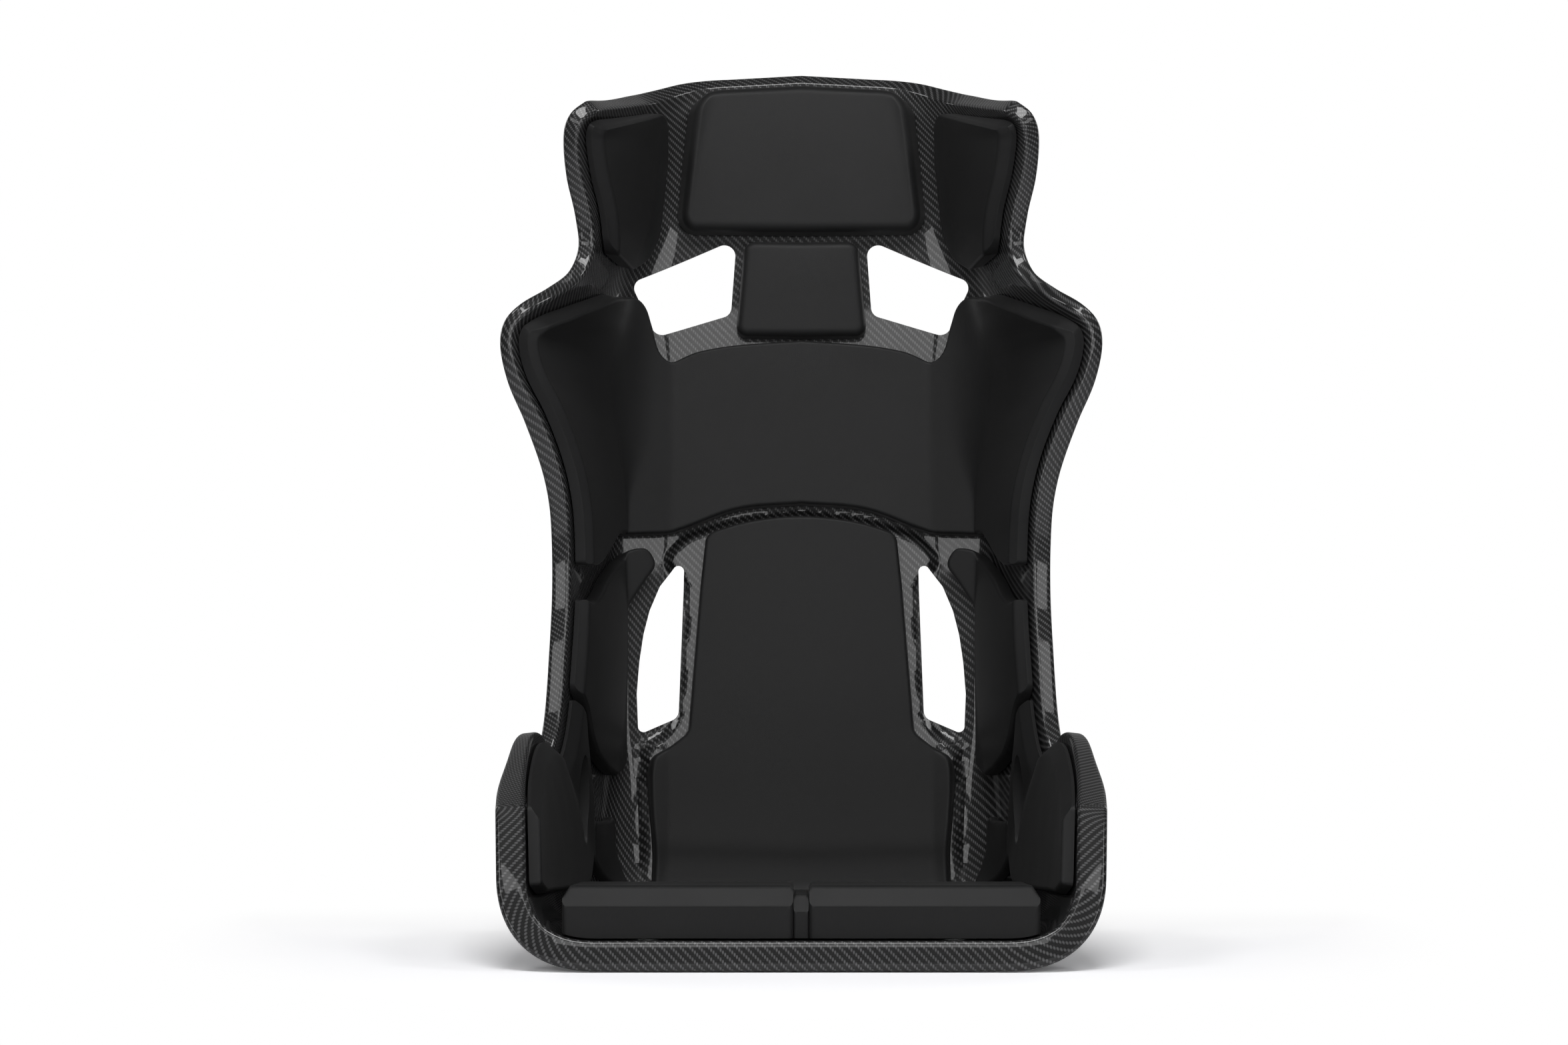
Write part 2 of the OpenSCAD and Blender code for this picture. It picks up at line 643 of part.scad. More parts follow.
// Rib pads: on the waist's side walls, lapping round the fold onto the back
rib_foot = bend_t + 57;
rib_top = shoulder_t - 168;
rib_in = [[rib_foot, 218], [rib_foot + 18, 196], [rib_top - 72, 192], [rib_top - 37, 171],
  [rib_top - 16, 157], [rib_top, 166]];
// Its lower edge, from the back to the rim: [share of its width, distance from rib_foot]
rib_low = [[0, -2], [0.25, -14], [0.5, -22], [0.66, -18], [0.82, -1], [1, 3]];
module rib_pad(side) {
  pad(
    function(p, q)
      let (
        s = side > 0 ? p : 1 - p,
        t = lerp(rib_foot + lookup(s, rib_low), rib_top - 128 * ease(s), q)
      )
      [side * lerp(lookup(t, rib_in), to_rim(8, t), s), t],
    rib_pad_t, 10, 12, corner_r = 8, bevels = rim_bevels(side, pad_chamfer));
}

// Hip pads: inside the hip wings, holed for the lap belt
hip_foot = 12;
hip_top = bend_t + 51;
hip_in = [[hip_foot, 284], [60, 272], [pan_len - 115, 262], [pan_len + 5, 254],
  [notch_t + 12, 270], [bend_t - 27, 287], [bend_t + 9, 314], [bend_t + 27, 330], [hip_top, 342]];
module hip_pad_body(side) {
  pad(
    function(p, q)
      let (t = lerp(hip_foot, hip_top, q), s = side > 0 ? p : 1 - p)
      [side * lerp(lookup(t, hip_in), to_rim(lerp(1, 12, q), t), s), t],
    hip_pad_t, 8, 22, corner_r = 5, bevels = rim_bevels(side, pad_chamfer + 5));
}
module hip_pad(side) {
  color(foam)
    difference() {
      hip_pad_body(side);
      in_place() cut_belt_hole(side, belt_grow);
    }
}

// Rear hip pads: in the corners between the pan, the back and the side walls
rear_hip_foot = bend_t - 59;
rear_hip_in = [[rear_hip_foot, 178], [bend_t - 30, 198], [bend_t - 12, 210], [bend_t + 9, 211],
  [bend_t + 18, 218]];
module rear_hip_pad(side) {
  pad(
    function(p, q)
      let (s = side > 0 ? p : 1 - p, t = lerp(rear_hip_foot, bend_t + 18 - 42 * s, q))
      [side * lerp(lookup(t, rear_hip_in), lerp(256, 278, q), s), t],
    rear_hip_pad_t, 8, 8, corner_r = 5);
}

// Seat cushions stand on the pan: blocks with chamfered upper edges
thigh_half = 222;
channel_half = 7.5;
thigh_y = [8, pan_len - 197];
thigh_mid = [pan_len - 325, pan_len - 265];
pocket_gap = 2;
// Height of the face at a point of the pan, out to the corner under the side wall
function pan_at(x, y) =
  let (c = section(y), reach = c[5][0] - c[4][0])
  abs(x) < c[4][0]
    ? lookup(abs(x), [[0, c[0][2]], [c[2][0], c[2][2]], [c[4][0], c[4][2]]])
    : bezier(c[4], c[5], c[6], 1 - sqrt(max(0, c[5][0] - abs(x)) / reach))[2];

// A block on the pan, with points at xs and ys. The outermost steps of each are chamfered,
// down by front_drop at the front.
module block(xs, ys, height, front_drop) {
  nx = len(xs) - 1;
  ny = len(ys) - 1;
  function lost(i, j) = max(
    i == 0 ? 2 * (xs[1] - xs[0]) : 0,
    i == nx ? 2 * (xs[nx] - xs[nx - 1]) : 0,
    j == 0 ? front_drop : 0,
    j == ny ? ys[ny] - ys[ny - 1] : 0);
  polyhedron(
    points = concat(
      [for (i = [0:nx]) for (j = [0:ny])
        [xs[i], ys[j], pan_at(0, ys[j]) + patch_gap + height - lost(i, j)]],
      [for (i = [0:nx]) for (j = [0:ny]) [xs[i], ys[j], pan_at(xs[i], ys[j]) + patch_gap]]),
    faces = slab_faces(nx, ny),
    convexity = 4);
}
// Pockets under the cushions clear the inserts and their load plates
module mount_pocket(side, y) {
  w = plate_side + 2 * pocket_gap;
  translate([side * insert_dx / 2 - w / 2, y - w / 2, pan_z - 1])
    cube([w, w, insert_z(y) - pan_z + 1 + collar_h + pocket_gap]);
}
module thigh_pad(side) {
  outer = [thigh_half, thigh_half - 7, 190, 150, 80];
  xs = side > 0
    ? [channel_half, channel_half + 2, each [for (i = [4:-1:0]) outer[i]]]
    : [each [for (x = outer) -x], -channel_half - 2, -channel_half];
  color(foam)
    in_place()
      difference() {
        block(xs, [thigh_y[0], thigh_y[0] + 18, each thigh_mid, thigh_y[1] - 12, thigh_y[1]],
          thigh_pad_t, 24);
        mount_pocket(side, insert_y);
      }
}
module channel_pad() {
  w = channel_half - 0.5;
  color(foam)
    in_place()
      block([-w, 2 - w, w - 2, w], [thigh_y[0] + 4, thigh_y[0] + 18, each thigh_mid,
        thigh_y[1] - 10, thigh_y[1] - 6], thigh_pad_t - 8, 20);
}
module seat_pad() {
  y0 = crotch_slot_y + crotch_len / 2 + 10;
  color(foam)
    in_place()
      difference() {
        block([-160, -146, -70, 0, 70, 146, 160],
          [y0, y0 + 14, pan_len - 95, pan_len - 45, pan_len - 19, pan_len - 5], seat_pad_t, 14);
        for (side = [left, right])
          mount_pocket(side, insert_y + insert_dy);
      }
}

// ---------------------------------------------------------------- mounting
// Threaded insert: its foot is level with the floor and its flange lies on the pan
bond_t = 0.5;    // adhesive under the flange
flange_t = 2;
flange_d = insert_d + 16;
collar_h = 9;    // the collar's top, above the pan
plate_gap = 0.2;
function insert_z(y) = pan_at((insert_dx + flange_d) / 2, y);
function pan_tilt(y) = atan((pan_at(0, y + 5) - pan_at(0, y - 5)) / 10);
collar_d = insert_bore_d + 6;
module insert(side, y) {
  pan_top = insert_z(y);
  translate([side * insert_dx / 2, y, 0])
    difference() {
      union() {
        cylinder(d = insert_d - 0.6, h = pan_top + bond_t + 1, $fn = 48);
        translate([0, 0, pan_top])
          rotate([pan_tilt(y), 0, 0])
            translate([0, 0, bond_t])
              cylinder(d = flange_d, h = flange_t, $fn = 48);
        translate([0, 0, pan_top + 1]) cylinder(d = collar_d, h = collar_h - 1, $fn = 48);
      }
      translate([0, 0, -1]) cylinder(d = insert_bore_d, h = pan_top + collar_h + 2, $fn = 48);
    }
}
module insert_pair(y) {
  color(alloy)
    in_place()
      for (side = [left, right])
        insert(side, y);
}
module load_plates(y) {
  color(alloy)
    in_place()
      for (side = [left, right])
        translate([side * insert_dx / 2, y, insert_z(y)])
          rotate([pan_tilt(y), 0, 0])
            translate([0, 0, bond_t + flange_t + plate_gap])
              difference() {
                translate([-plate_side / 2, -plate_side / 2, 0])
                  cube([plate_side, plate_side, plate_t]);
                translate([0, 0, -1])
                  cylinder(d = collar_d + 1.6, h = plate_t + 2, $fn = 48);
              }
}

// ---------------------------------------------------------------- hook-and-loop patches
patch_clear = 0.3;
module patch(a, t, width, n, clear) {
  lift = rise(a, t);
  places = [for (i = [0:n]) for (j = [0:n]) [a + (i / n - 0.5) * width, t + (j / n - 0.5) * width]];
  polyhedron(
    points = concat(
      [for (p = places) above(p[0], p[1], lift + patch_gap - (clear + patch_clear) / 2)],
      [for (p = places) above(p[0], p[1], lift + clear)]),
    faces = slab_faces(n, n),
    convexity = 2);
}
module patches(list, width = patch_side, n = 1, clear = patch_clear) {
  color(tape)
    in_place()
      for (p = list)
        for (side = [left, right])
          patch(side * p[0], p[1], width, n, clear);
}

shell();
head_pad();
head_side_pad(left);  // head_side_pad_left
head_side_pad(right);  // head_side_pad_right
neck_pad();
shoulder_pad();
lower_back_pad();
rib_pad(left);  // rib_pad_left
rib_pad(right);  // rib_pad_right
hip_pad(left);  // hip_pad_left
hip_pad(right);  // hip_pad_right
rear_hip_pad(left);  // rear_hip_pad_left
rear_hip_pad(right);  // rear_hip_pad_right
thigh_pad(left);  // thigh_pad_left
thigh_pad(right);  // thigh_pad_right
channel_pad();
seat_pad();
insert_pair(insert_y);  // mount_inserts_front
insert_pair(insert_y + insert_dy);  // mount_inserts_rear
load_plates(insert_y);  // load_plates_front
load_plates(insert_y + insert_dy);  // load_plates_rear
patches([[70, top_t - 60], [70, top_t - 125], [218, top_t - 75], [30, level(neck_z - 20)]]);  // patches_head
union() {  // patches_back
  patches([[60, shoulder_t - 30], [60, panel_top - 112], [60, bend_t + 55]]);
  patches([[300, shoulder_t - 120]], 30, 3, 0.8);
}
union() {  // patches_sides
  patches([[280, rib_foot + 58], [270, rib_foot + 138], [330, 110], [330, pan_len - 165]]);
  patches([[234, bend_t - 29]], patch_side / 2, 3, 0.9);
}
patches([[60, 60], [60, thigh_y[1] - 48], [60, pan_len - 95]]);  // patches_seat
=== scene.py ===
# High-backed bucket racing seat: a moulded carbon shell with foam pads, on a pale floor.
# Sizes are in millimetres, and depths y start at the seat's lip, until a mesh is made, which
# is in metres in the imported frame.
import math

import bpy
import numpy as np
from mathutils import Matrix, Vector


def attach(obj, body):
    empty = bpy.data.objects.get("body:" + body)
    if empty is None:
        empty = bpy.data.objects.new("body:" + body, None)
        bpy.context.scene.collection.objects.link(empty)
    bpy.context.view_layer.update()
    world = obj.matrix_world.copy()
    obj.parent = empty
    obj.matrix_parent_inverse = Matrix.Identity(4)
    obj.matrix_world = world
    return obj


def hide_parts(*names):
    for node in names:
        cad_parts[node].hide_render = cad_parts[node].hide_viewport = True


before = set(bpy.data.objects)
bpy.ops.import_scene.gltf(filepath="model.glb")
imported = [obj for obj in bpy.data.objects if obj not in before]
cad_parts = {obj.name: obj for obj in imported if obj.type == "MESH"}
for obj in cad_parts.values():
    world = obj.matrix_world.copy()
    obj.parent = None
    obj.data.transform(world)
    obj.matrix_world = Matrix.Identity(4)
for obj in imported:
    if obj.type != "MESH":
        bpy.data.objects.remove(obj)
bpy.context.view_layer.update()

# ---------------------------------------------------------------------------
# Camera: 3.5 m in front of the seat's lip at the height of the waist, a long
# lens, level, so that the seat is seen straight on.
lip_to_middle, camera_to_lip, camera_z = 314.382, 3500.0, 416.0
camera_data = bpy.data.cameras.new("camera")
camera_data.lens = 86.9
camera_data.sensor_width = 36.0
camera_data.shift_x = -0.011
camera_data.clip_end = 60.0
camera = bpy.data.objects.new("camera", camera_data)
camera.location = (0.0, -(camera_to_lip + lip_to_middle) / 1000.0, camera_z / 1000.0)
camera.rotation_euler = (math.radians(90.0), 0.0, 0.0)
bpy.context.scene.collection.objects.link(camera)
bpy.context.scene.camera = camera

# ---------------------------------------------------------------------------
# Shell: one moulding of woven carbon cloth in epoxy, 4 mm thick, lacquered. The
# rim turns outwards all round, and its outer edge turns back. A raised panel
# stiffens the back. Strap openings and vents are cut through after moulding.

# Heights z, half widths and depths y that its other places are worked out from
lip_z, wall, bend_z, pan_clear = 29.0, 4.0, 66.0, 0.2
pan_z = wall + pan_clear
hip_z, shoulder_z = 205.0, 595.0
neck_z = shoulder_z + 109.0
top_z = neck_z + 189.0
hip_half, waist_half, shoulder_half, neck_half, head_half = 263.0, 234.0, 291.0, 213.0, 228.0
pan_len, pelvis_y, waist_y, shoulder_y, neck_y, head_y = 395.0, 473.0, 345.0, 327.0, 412.0, 394.0
recline, lumbar_arch = math.radians(9.7), 7.0
bend_t, notch_t = pan_len + 110.0, pan_len + 45.0


def level(z):
    """Distance t along the middle line to a height z of the back."""
    return bend_t + (z - bend_z) / math.cos(recline)


def back_y(z):
    """Depth of the middle line at a height z of the back."""
    arch = lumbar_arch * math.sin(math.pi * (z - bend_z) / (top_z - bend_z))
    return pelvis_y + (z - bend_z) * math.tan(recline) - arch


top_t, shoulder_t, neck_t = level(top_z), level(shoulder_z - 51), level(neck_z - 27)

# Middle line [t, y, z], fold [t, x, y, z], rim [t, x, y, z] and flat middle [t, half
# width, rounding], where t runs along the middle line from the lip, back and up
middle = np.array([
    [0, 0, lip_z],
    [pan_len / 2, pan_len / 2, pan_z + (lip_z - pan_z) * 0.42],
    [pan_len, pan_len, pan_z],
    [pan_len + 55, (pan_len + pelvis_y) / 2 + 12, pan_z + 16],
    *[[level(z), back_y(z), z] for z in (bend_z, 250, 450, 650, top_z)]])
fold = np.array([
    [0, hip_half - 9, 0, lip_z],
    [pan_len / 2, hip_half - 23, pan_len / 2 - 4, pan_z + 9],
    [pan_len - 15, hip_half - 41, pan_len - 23, pan_z + 2],
    [notch_t, hip_half - 49, pan_len + 30, 28],
    [bend_t, waist_half - 28, pelvis_y - 21, 82],
    [level(140), waist_half - 35, back_y(140) - 13, 160],
    [level(258), waist_half - 38, back_y(258) - 15, 272],
    [level(406), waist_half - 34, back_y(406) - 17, 420],
    [level(shoulder_z - 40), shoulder_half - 89, back_y(shoulder_z) - 28, shoulder_z - 30],
    [level(neck_z - 60), neck_half - 13, back_y(neck_z) - 31, neck_z - 54],
    [level(neck_z + 28), neck_half - 41, back_y(neck_z) - 16, neck_z + 31],
    [level(top_z - 70), head_half - 68, back_y(top_z) - 41, top_z - 77],
    [top_t, head_half - 70, back_y(top_z) - 38, top_z - 27]])
rim = np.array([
    [0, hip_half - 4, 50, hip_z - 58],
    [120, hip_half, 118, hip_z - 31],
    [250, hip_half, 190, hip_z - 6],
    [pan_len - 65, hip_half - 3, 235, hip_z],
    [pan_len, hip_half - 8, 272, hip_z - 7],
    [notch_t, hip_half - 11, 296, hip_z - 25],
    [notch_t + 40, waist_half + 12, 310, hip_z - 12],
    [bend_t + 25, waist_half + 7, waist_y - 22, hip_z + 20],
    [level(160), waist_half + 3, waist_y - 9, 280],
    [level(248), waist_half, waist_y, 340],
    [level(shoulder_z - 277), waist_half, waist_y + 1, shoulder_z - 200],
    [shoulder_t - 170, waist_half + 3, waist_y - 2, shoulder_z - 155],
    [shoulder_t - 125, waist_half + 12, waist_y - 5, shoulder_z - 115],
    [shoulder_t - 75, shoulder_half - 27, shoulder_y + 8, shoulder_z - 68],
    [shoulder_t - 35, shoulder_half - 8, shoulder_y + 3, shoulder_z - 31],
    [shoulder_t, shoulder_half, shoulder_y, shoulder_z],
    [shoulder_t + 23, shoulder_half - 3, shoulder_y + 1, shoulder_z + 19],
    [shoulder_t + 45, shoulder_half - 17, shoulder_y + 7, shoulder_z + 33],
    [neck_t - 65, neck_half + 36, neck_y - 54, neck_z - 60],
    [neck_t - 35, neck_half + 12, neck_y - 17, neck_z - 38],
    [neck_t, neck_half, neck_y, neck_z - 6],
    [neck_t + 40, neck_half + 3, neck_y - 2, neck_z + 31],
    [top_t - 125, head_half - 3, head_y + 8, top_z - 118],
    [top_t - 70, head_half, head_y + 1, top_z - 81],
    [top_t - 35, head_half - 5, head_y - 1, top_z - 66],
    [top_t, head_half - 17, head_y + 8, top_z - 56]])
flat_middle = np.array([
    [0, 150, 62], [pan_len, 145, 52], [level(120), 140, 30], [level(200), 140, 17],
    [level(420), 139, 16], [level(490), 139, 40], [shoulder_t, 139, 45], [neck_t, 135, 46],
    [top_t, 108, 30]])

# Width of the rim at each t
rim_width = np.array([
    [0, 28], [60, 27], [200, 20], [notch_t, 18], [level(200), 20], [shoulder_t - 125, 20],
    [shoulder_t - 75, 19], [shoulder_t - 20, 15], [shoulder_t + 45, 15], [neck_t, 18],
    [top_t, 18]])


def curve(rows, t):
    """Smooth curve through rows that start with their t, at every t of an array."""
    ts = rows[:, 0]
    i = np.clip(np.searchsorted(ts, t, side="right") - 1, 0, len(ts) - 2)
    low, high = np.maximum(np.arange(len(ts)) - 1, 0), np.minimum(np.arange(len(ts)) + 1, len(ts) - 1)
    slopes = (rows[high] - rows[low]) / (ts[high] - ts[low])[:, None]
    h = (ts[i + 1] - ts[i])[..., None]
    s = (np.asarray(t) - ts[i])[..., None] / h
    return ((2 * s**3 - 3 * s**2 + 1) * rows[i] + (s**3 - 2 * s**2 + s) * h * slopes[i]
            + (3 * s**2 - 2 * s**3) * rows[i + 1] + (s**3 - s**2) * h * slopes[i + 1])


def length(v):
    """Length of each vector of an array."""
    return np.sqrt((v * v).sum(-1, keepdims=True))


def unit(v):
    """The same directions with a length of 1."""
    return v / np.maximum(length(v), 1e-9)


def ease(x):
    """0 below 0 and 1 above 1, with a smooth rise between."""
    x = np.clip(x, 0, 1)
    return x * x * (3 - 2 * x)


def bend_point(a, b, c, s):
    """Point at a share s of the arc from a to c that b pulls towards itself."""
    return (1 - s) ** 2 * a + 2 * s * (1 - s) * b + s**2 * c


def section(t):
    """Half of the section at each t: eight points, from the middle to the rim."""
    mid, bend, flat = curve(middle, t), curve(fold, t), curve(flat_middle, t)
    centre = np.stack([0 * mid[..., 1], mid[..., 1], mid[..., 2]], -1)
    corner, edge = bend[..., 1:], curve(rim, t)[..., 1:]
    lift = (bend[..., 3] - mid[..., 2]) * (flat[..., 1] / bend[..., 1]) ** 4
    flat_end = np.stack([flat[..., 1], mid[..., 1], mid[..., 2] + lift], -1)

    # The flat middle's end is bent wider above the shoulders, and both bends have to fit
    tight_bend, wide_bend, widen_from, widen_over = 9, 25, shoulder_t + 30, 90
    room = length(corner - flat_end)
    widened = ease((t - widen_from) / widen_over)[..., None]
    end_bend = np.minimum(tight_bend + (wide_bend - tight_bend) * widened, 0.4 * room)
    fold_bend = np.minimum(np.minimum(flat[..., 2:], room - end_bend), 0.9 * length(edge - corner))
    return [centre, flat_end + unit(centre - flat_end) * end_bend, flat_end,
            flat_end + unit(corner - flat_end) * end_bend,
            corner + unit(flat_end - corner) * fold_bend, corner,
            corner + unit(edge - corner) * fold_bend, edge]


# The straight and bent pieces of a section: start, pull and end, as places in its eight points
section_pieces = ((0, None, 1), (1, 2, 3), (3, None, 4), (4, 5, 6), (6, None, 7))


def along(s, piece, share):
    """Point at a share of one piece of a section."""
    a, b, c = section_pieces[piece]
    if b is None:
        return s[a] + (s[c] - s[a]) * share
    return bend_point(s[a], s[b], s[c], share)


def piece_lengths(s):
    """Length of each piece of a section."""
    sizes = []
    for k, (_, pull, _) in enumerate(section_pieces):
        stops = (0, 1) if pull is None else (0, 0.25, 0.5, 0.75, 1)
        marks = [along(s, k, stop) for stop in stops]
        sizes.append(sum(length(b - a)[..., 0] for a, b in zip(marks, marks[1:])))
    return np.stack(sizes, -1)


def girth(t):
    """Length of half the section at each t, from the middle to the rim."""
    return piece_lengths(section(np.asarray(t, float))).sum(-1)


def walk(a, t):
    """Point of the inner face at a distance a from the middle line, on the +X half."""
    s = section(t)
    sizes = piece_lengths(s)
    starts = np.concatenate([0 * sizes[..., :1], np.cumsum(sizes, -1)[..., :-1]], -1)
    point = np.zeros(np.shape(t) + (3,))
    for k in range(len(section_pieces)):
        inside = (a >= starts[..., k]) | (k == 0)
        share = ((a - starts[..., k]) / np.maximum(sizes[..., k], 1e-6))[..., None]
        point = np.where(inside[..., None], along(s, k, share), point)
    return point


def face(a, t):
    """Point of the inner face at a distance a from the middle line, on either half."""
    point = walk(np.abs(a), t)
    point[..., 0] *= np.where(a < 0, -1, 1)
    return point


def face_normal(a, t):
    """Direction out of the inner face."""
    step = 3.0
    x = np.maximum(np.abs(a), step)
    t0, t1 = np.maximum(t - step, 0), np.minimum(t + step, top_t)
    share = x / girth(t)
    across = walk(x + step, t) - walk(x - step, t)
    up = walk(share * girth(t1), t1) - walk(share * girth(t0), t0)
    n = unit(np.cross(across, up))
    n[..., 0] *= np.where(np.abs(a) < step, 0, np.where(a < 0, -1, 1))
    return unit(n)


def soft_ramp(x, soft):
    """0 below 0 and 1 above 1, with rounded ends."""
    return (np.sqrt(x**2 + soft**2) - np.sqrt((x - 1) ** 2 + soft**2) + 1) / 2


def to_line(points, line):
    """Distance from each point to a line through the given marks."""
    a, b = line[:-1], line[1:]
    best, batch = np.full(len(points), 1e9), 4000
    for start in range(0, len(points), batch):
        p = points[start:start + batch, None, :]
        share = np.clip(((p - a) * (b - a)).sum(-1) / np.maximum(((b - a) ** 2).sum(-1), 1e-9), 0, 1)
        gap = p - a - (b - a) * share[..., None]
        best[start:start + batch] = np.sqrt((gap**2).sum(-1)).min(-1)
    return best


def inside(points, outline):
    """Whether each point lies inside a closed outline."""
    a, b = outline, np.roll(outline, -1, 0)
    odd = np.zeros(len(points), bool)
    for (ax, ay), (bx, by) in zip(a, b):
        spans = (ay <= points[:, 1]) != (by <= points[:, 1])
        with np.errstate(divide="ignore", invalid="ignore"):
            crossing = ax + (bx - ax) * (points[:, 1] - ay) / (by - ay)
        odd ^= spans & (points[:, 0] < crossing)
    return odd


def round_corners(marks, cut):
    """A line through marks with each corner rounded from cut before it to cut after it."""
    line = [marks[0]]
    for a, b, c in zip(marks, marks[1:], marks[2:]):
        u = min(cut, 0.45 * np.linalg.norm(b - a))
        v = min(cut, 0.45 * np.linalg.norm(c - b))
        start, end = b + unit(a - b) * u, b + unit(c - b) * v
        line += [bend_point(start, b, end, s) for s in np.linspace(0, 1, 7)]
    return np.array(line + [marks[-1]])


# Half outline of the raised panel, which rises out of the pan over panel_fade
panel_foot, panel_top, panel_rise, panel_slope, panel_fade = bend_t - 75, shoulder_t - 118, 13.0, 8.0, 90
panel_start, panel_corner = panel_foot - 20, 16.0
panel = round_corners(np.array([
    [0, panel_start], [165, panel_start], [174, bend_t + 35], [171, bend_t + 105],
    [134, bend_t + 137], [125, panel_top - 82], [152, panel_top - 60], [126, panel_top - 29],
    [64, panel_top - 9], [0, panel_top]]), panel_corner)


def rise(a, t):
    """Height of the raised panel above the face."""
    flat = np.stack([np.abs(a).ravel(), np.asarray(t, float).ravel()], -1)
    around_a, around_t = 200, 30
    near = ((flat[:, 0] < around_a)
            & (flat[:, 1] > panel_foot - around_t) & (flat[:, 1] < panel_top + around_t))
    out = np.zeros(len(flat))
    some = flat[near]
    closed = np.vstack([panel, [[-1, panel_top], [-1, panel_start]]])
    signed = to_line(some, panel[1:]) * np.where(inside(some, closed), 1, -1)
    out[near] = soft_ramp(signed / panel_slope, 0.07) * ease((some[:, 1] - panel_foot) / panel_fade)
    return panel_rise * out.reshape(np.shape(a))


def above(a, t, h):
    """Point at a height h over the inner face."""
    return face(a, t) + face_normal(a, t) * h[..., None]


def make_piece(name, points, faces, cloth):
    """A smooth mesh piece; cloth is each point's place on the flat cloth, in mm."""
    mesh = bpy.data.meshes.new(name)
    spot = (np.asarray(points) - (0, lip_to_middle, 0)) / 1000.0
    mesh.vertices.add(len(spot))
    mesh.vertices.foreach_set("co", spot.astype(np.float32).ravel())
    faces = np.asarray(faces, np.int32)
    mesh.loops.add(faces.size)
    mesh.loops.foreach_set("vertex_index", faces.ravel())
    mesh.polygons.add(len(faces))
    mesh.polygons.foreach_set("loop_start", np.arange(0, faces.size, faces.shape[1], dtype=np.int32))
    mesh.update(calc_edges=True)
    mesh.validate()
    layer = mesh.uv_layers.new(name="cloth")
    layer.uv.foreach_set("vector", np.asarray(cloth, np.float32)[faces.ravel()].ravel())
    mesh.shade_smooth()
    piece = bpy.data.objects.new(name, mesh)
    bpy.context.scene.collection.objects.link(piece)
    return piece


# The sheet: rows up the seat, closer together over the raised panel, and marks along the
# pieces of each row
fine_start, fine_end = 420, 884
rows_t = np.concatenate([np.arange(0, fine_start, 5.0), np.arange(fine_start, fine_end, 2.6),
                         np.linspace(fine_end + 2, top_t, 96)])
steps = [(k, s) for k, count in enumerate((42, 21, 5, 23, 27)) for s in np.linspace(0, 1, count)[1:]]
row_sections = section(rows_t)
sizes = piece_lengths(row_sections)
starts = np.concatenate([0 * sizes[:, :1], np.cumsum(sizes, -1)[:, :-1]], -1)
half = np.stack([row_sections[0]] + [along(row_sections, k, s) for k, s in steps], 1)
half_a = np.stack([0 * rows_t] + [starts[:, k] + s * sizes[:, k] for k, s in steps], 1)
mirror = np.array([-1, 1, 1])
sheet = np.concatenate([half[:, :0:-1] * mirror, half], 1)
sheet_a = np.concatenate([-half_a[:, :0:-1], half_a], 1)
sheet_t = np.repeat(rows_t[:, None], sheet_a.shape[1], 1)


def grid_normals(grid):
    """Direction out of a grid of points at each of them."""
    across = np.gradient(grid, axis=1)
    up = np.gradient(grid, axis=0)
    return unit(np.cross(across, up))


sheet = sheet + grid_normals(sheet) * rise(sheet_a, sheet_t)[..., None]
normals = grid_normals(sheet)
last_row, last_column = sheet.shape[0] - 1, sheet.shape[1] - 1

# The sheet's edge, from the lip's left end right round
loop = np.array([(0, j) for j in range(last_column)]
                + [(i, last_column) for i in range(last_row)]
                + [(last_row, j) for j in range(last_column, 0, -1)]
                + [(i, 0) for i in range(last_row, 0, -1)])
edge_count = len(loop)
edge = sheet[loop[:, 0], loop[:, 1]]
step_length = length(np.roll(edge, -1, 0) - edge)[:, 0]
place = np.concatenate([[0], np.cumsum(step_length)])
edge_length = place[-1]


def smooth_round(values, reach):
    """Values round the rim, smoothed over a reach in mm."""
    values = np.asarray(values, float)
    flat = values.reshape(edge_count, -1)
    count = 4096
    even = np.linspace(0, edge_length, count, endpoint=False)
    looped = np.vstack([flat, flat[:1]])
    dense = np.stack([np.interp(even, place, column) for column in looped.T], -1)
    waves = np.fft.rfftfreq(count, d=edge_length / count)
    damp = np.exp(-2 * (math.pi * waves * reach) ** 2)[:, None]
    dense = np.fft.irfft(np.fft.rfft(dense, axis=0) * damp, n=count, axis=0)
    dense = np.vstack([dense, dense[:1]])
    ring_even = np.append(even, edge_length)
    out = np.stack([np.interp(place[:-1], ring_even, column) for column in dense.T], -1)
    return out.reshape(values.shape)


# The rim's directions, width and slope are smoothed over these distances
facing_reach, cloth_reach, width_reach, slope_reach = 13.0, 11.0, 6.0, 8.0
edge_normal = unit(smooth_round(normals[loop[:, 0], loop[:, 1]], facing_reach))
tangent = np.roll(edge, -1, 0) - np.roll(edge, 1, 0)
edge_out = unit(smooth_round(unit(np.cross(unit(tangent), edge_normal)), facing_reach))
edge_out = unit(edge_out - edge_normal * (edge_out * edge_normal).sum(-1, keepdims=True))
side = np.where(loop[:, 1] == last_column, 1, np.where(loop[:, 1] == 0, -1, 0))
cloth_out = np.stack([side, np.where(side != 0, 0, np.where(loop[:, 0] == 0, -1, 1))], -1)
cloth_out = unit(smooth_round(cloth_out, cloth_reach))
width = curve(rim_width, rows_t[loop[:, 0]])[:, 1]

# Under the lip the rim ends just above the floor. It turns square to the face, except over
# the head, where it slopes.
floor_gap, head_slope, slope_end, slope_fade = 1.1, 45.0, head_half - 20, 60
under_lip, over_head = loop[:, 0] == 0, loop[:, 0] == last_row
width = np.where(under_lip, np.minimum(width, edge[:, 2] - floor_gap), width)
width = smooth_round(width, width_reach)
slope = np.where(over_head, head_slope * ease((slope_end - np.abs(edge[:, 0])) / slope_fade), 0)
turn = np.radians(90.0 - smooth_round(slope, slope_reach))

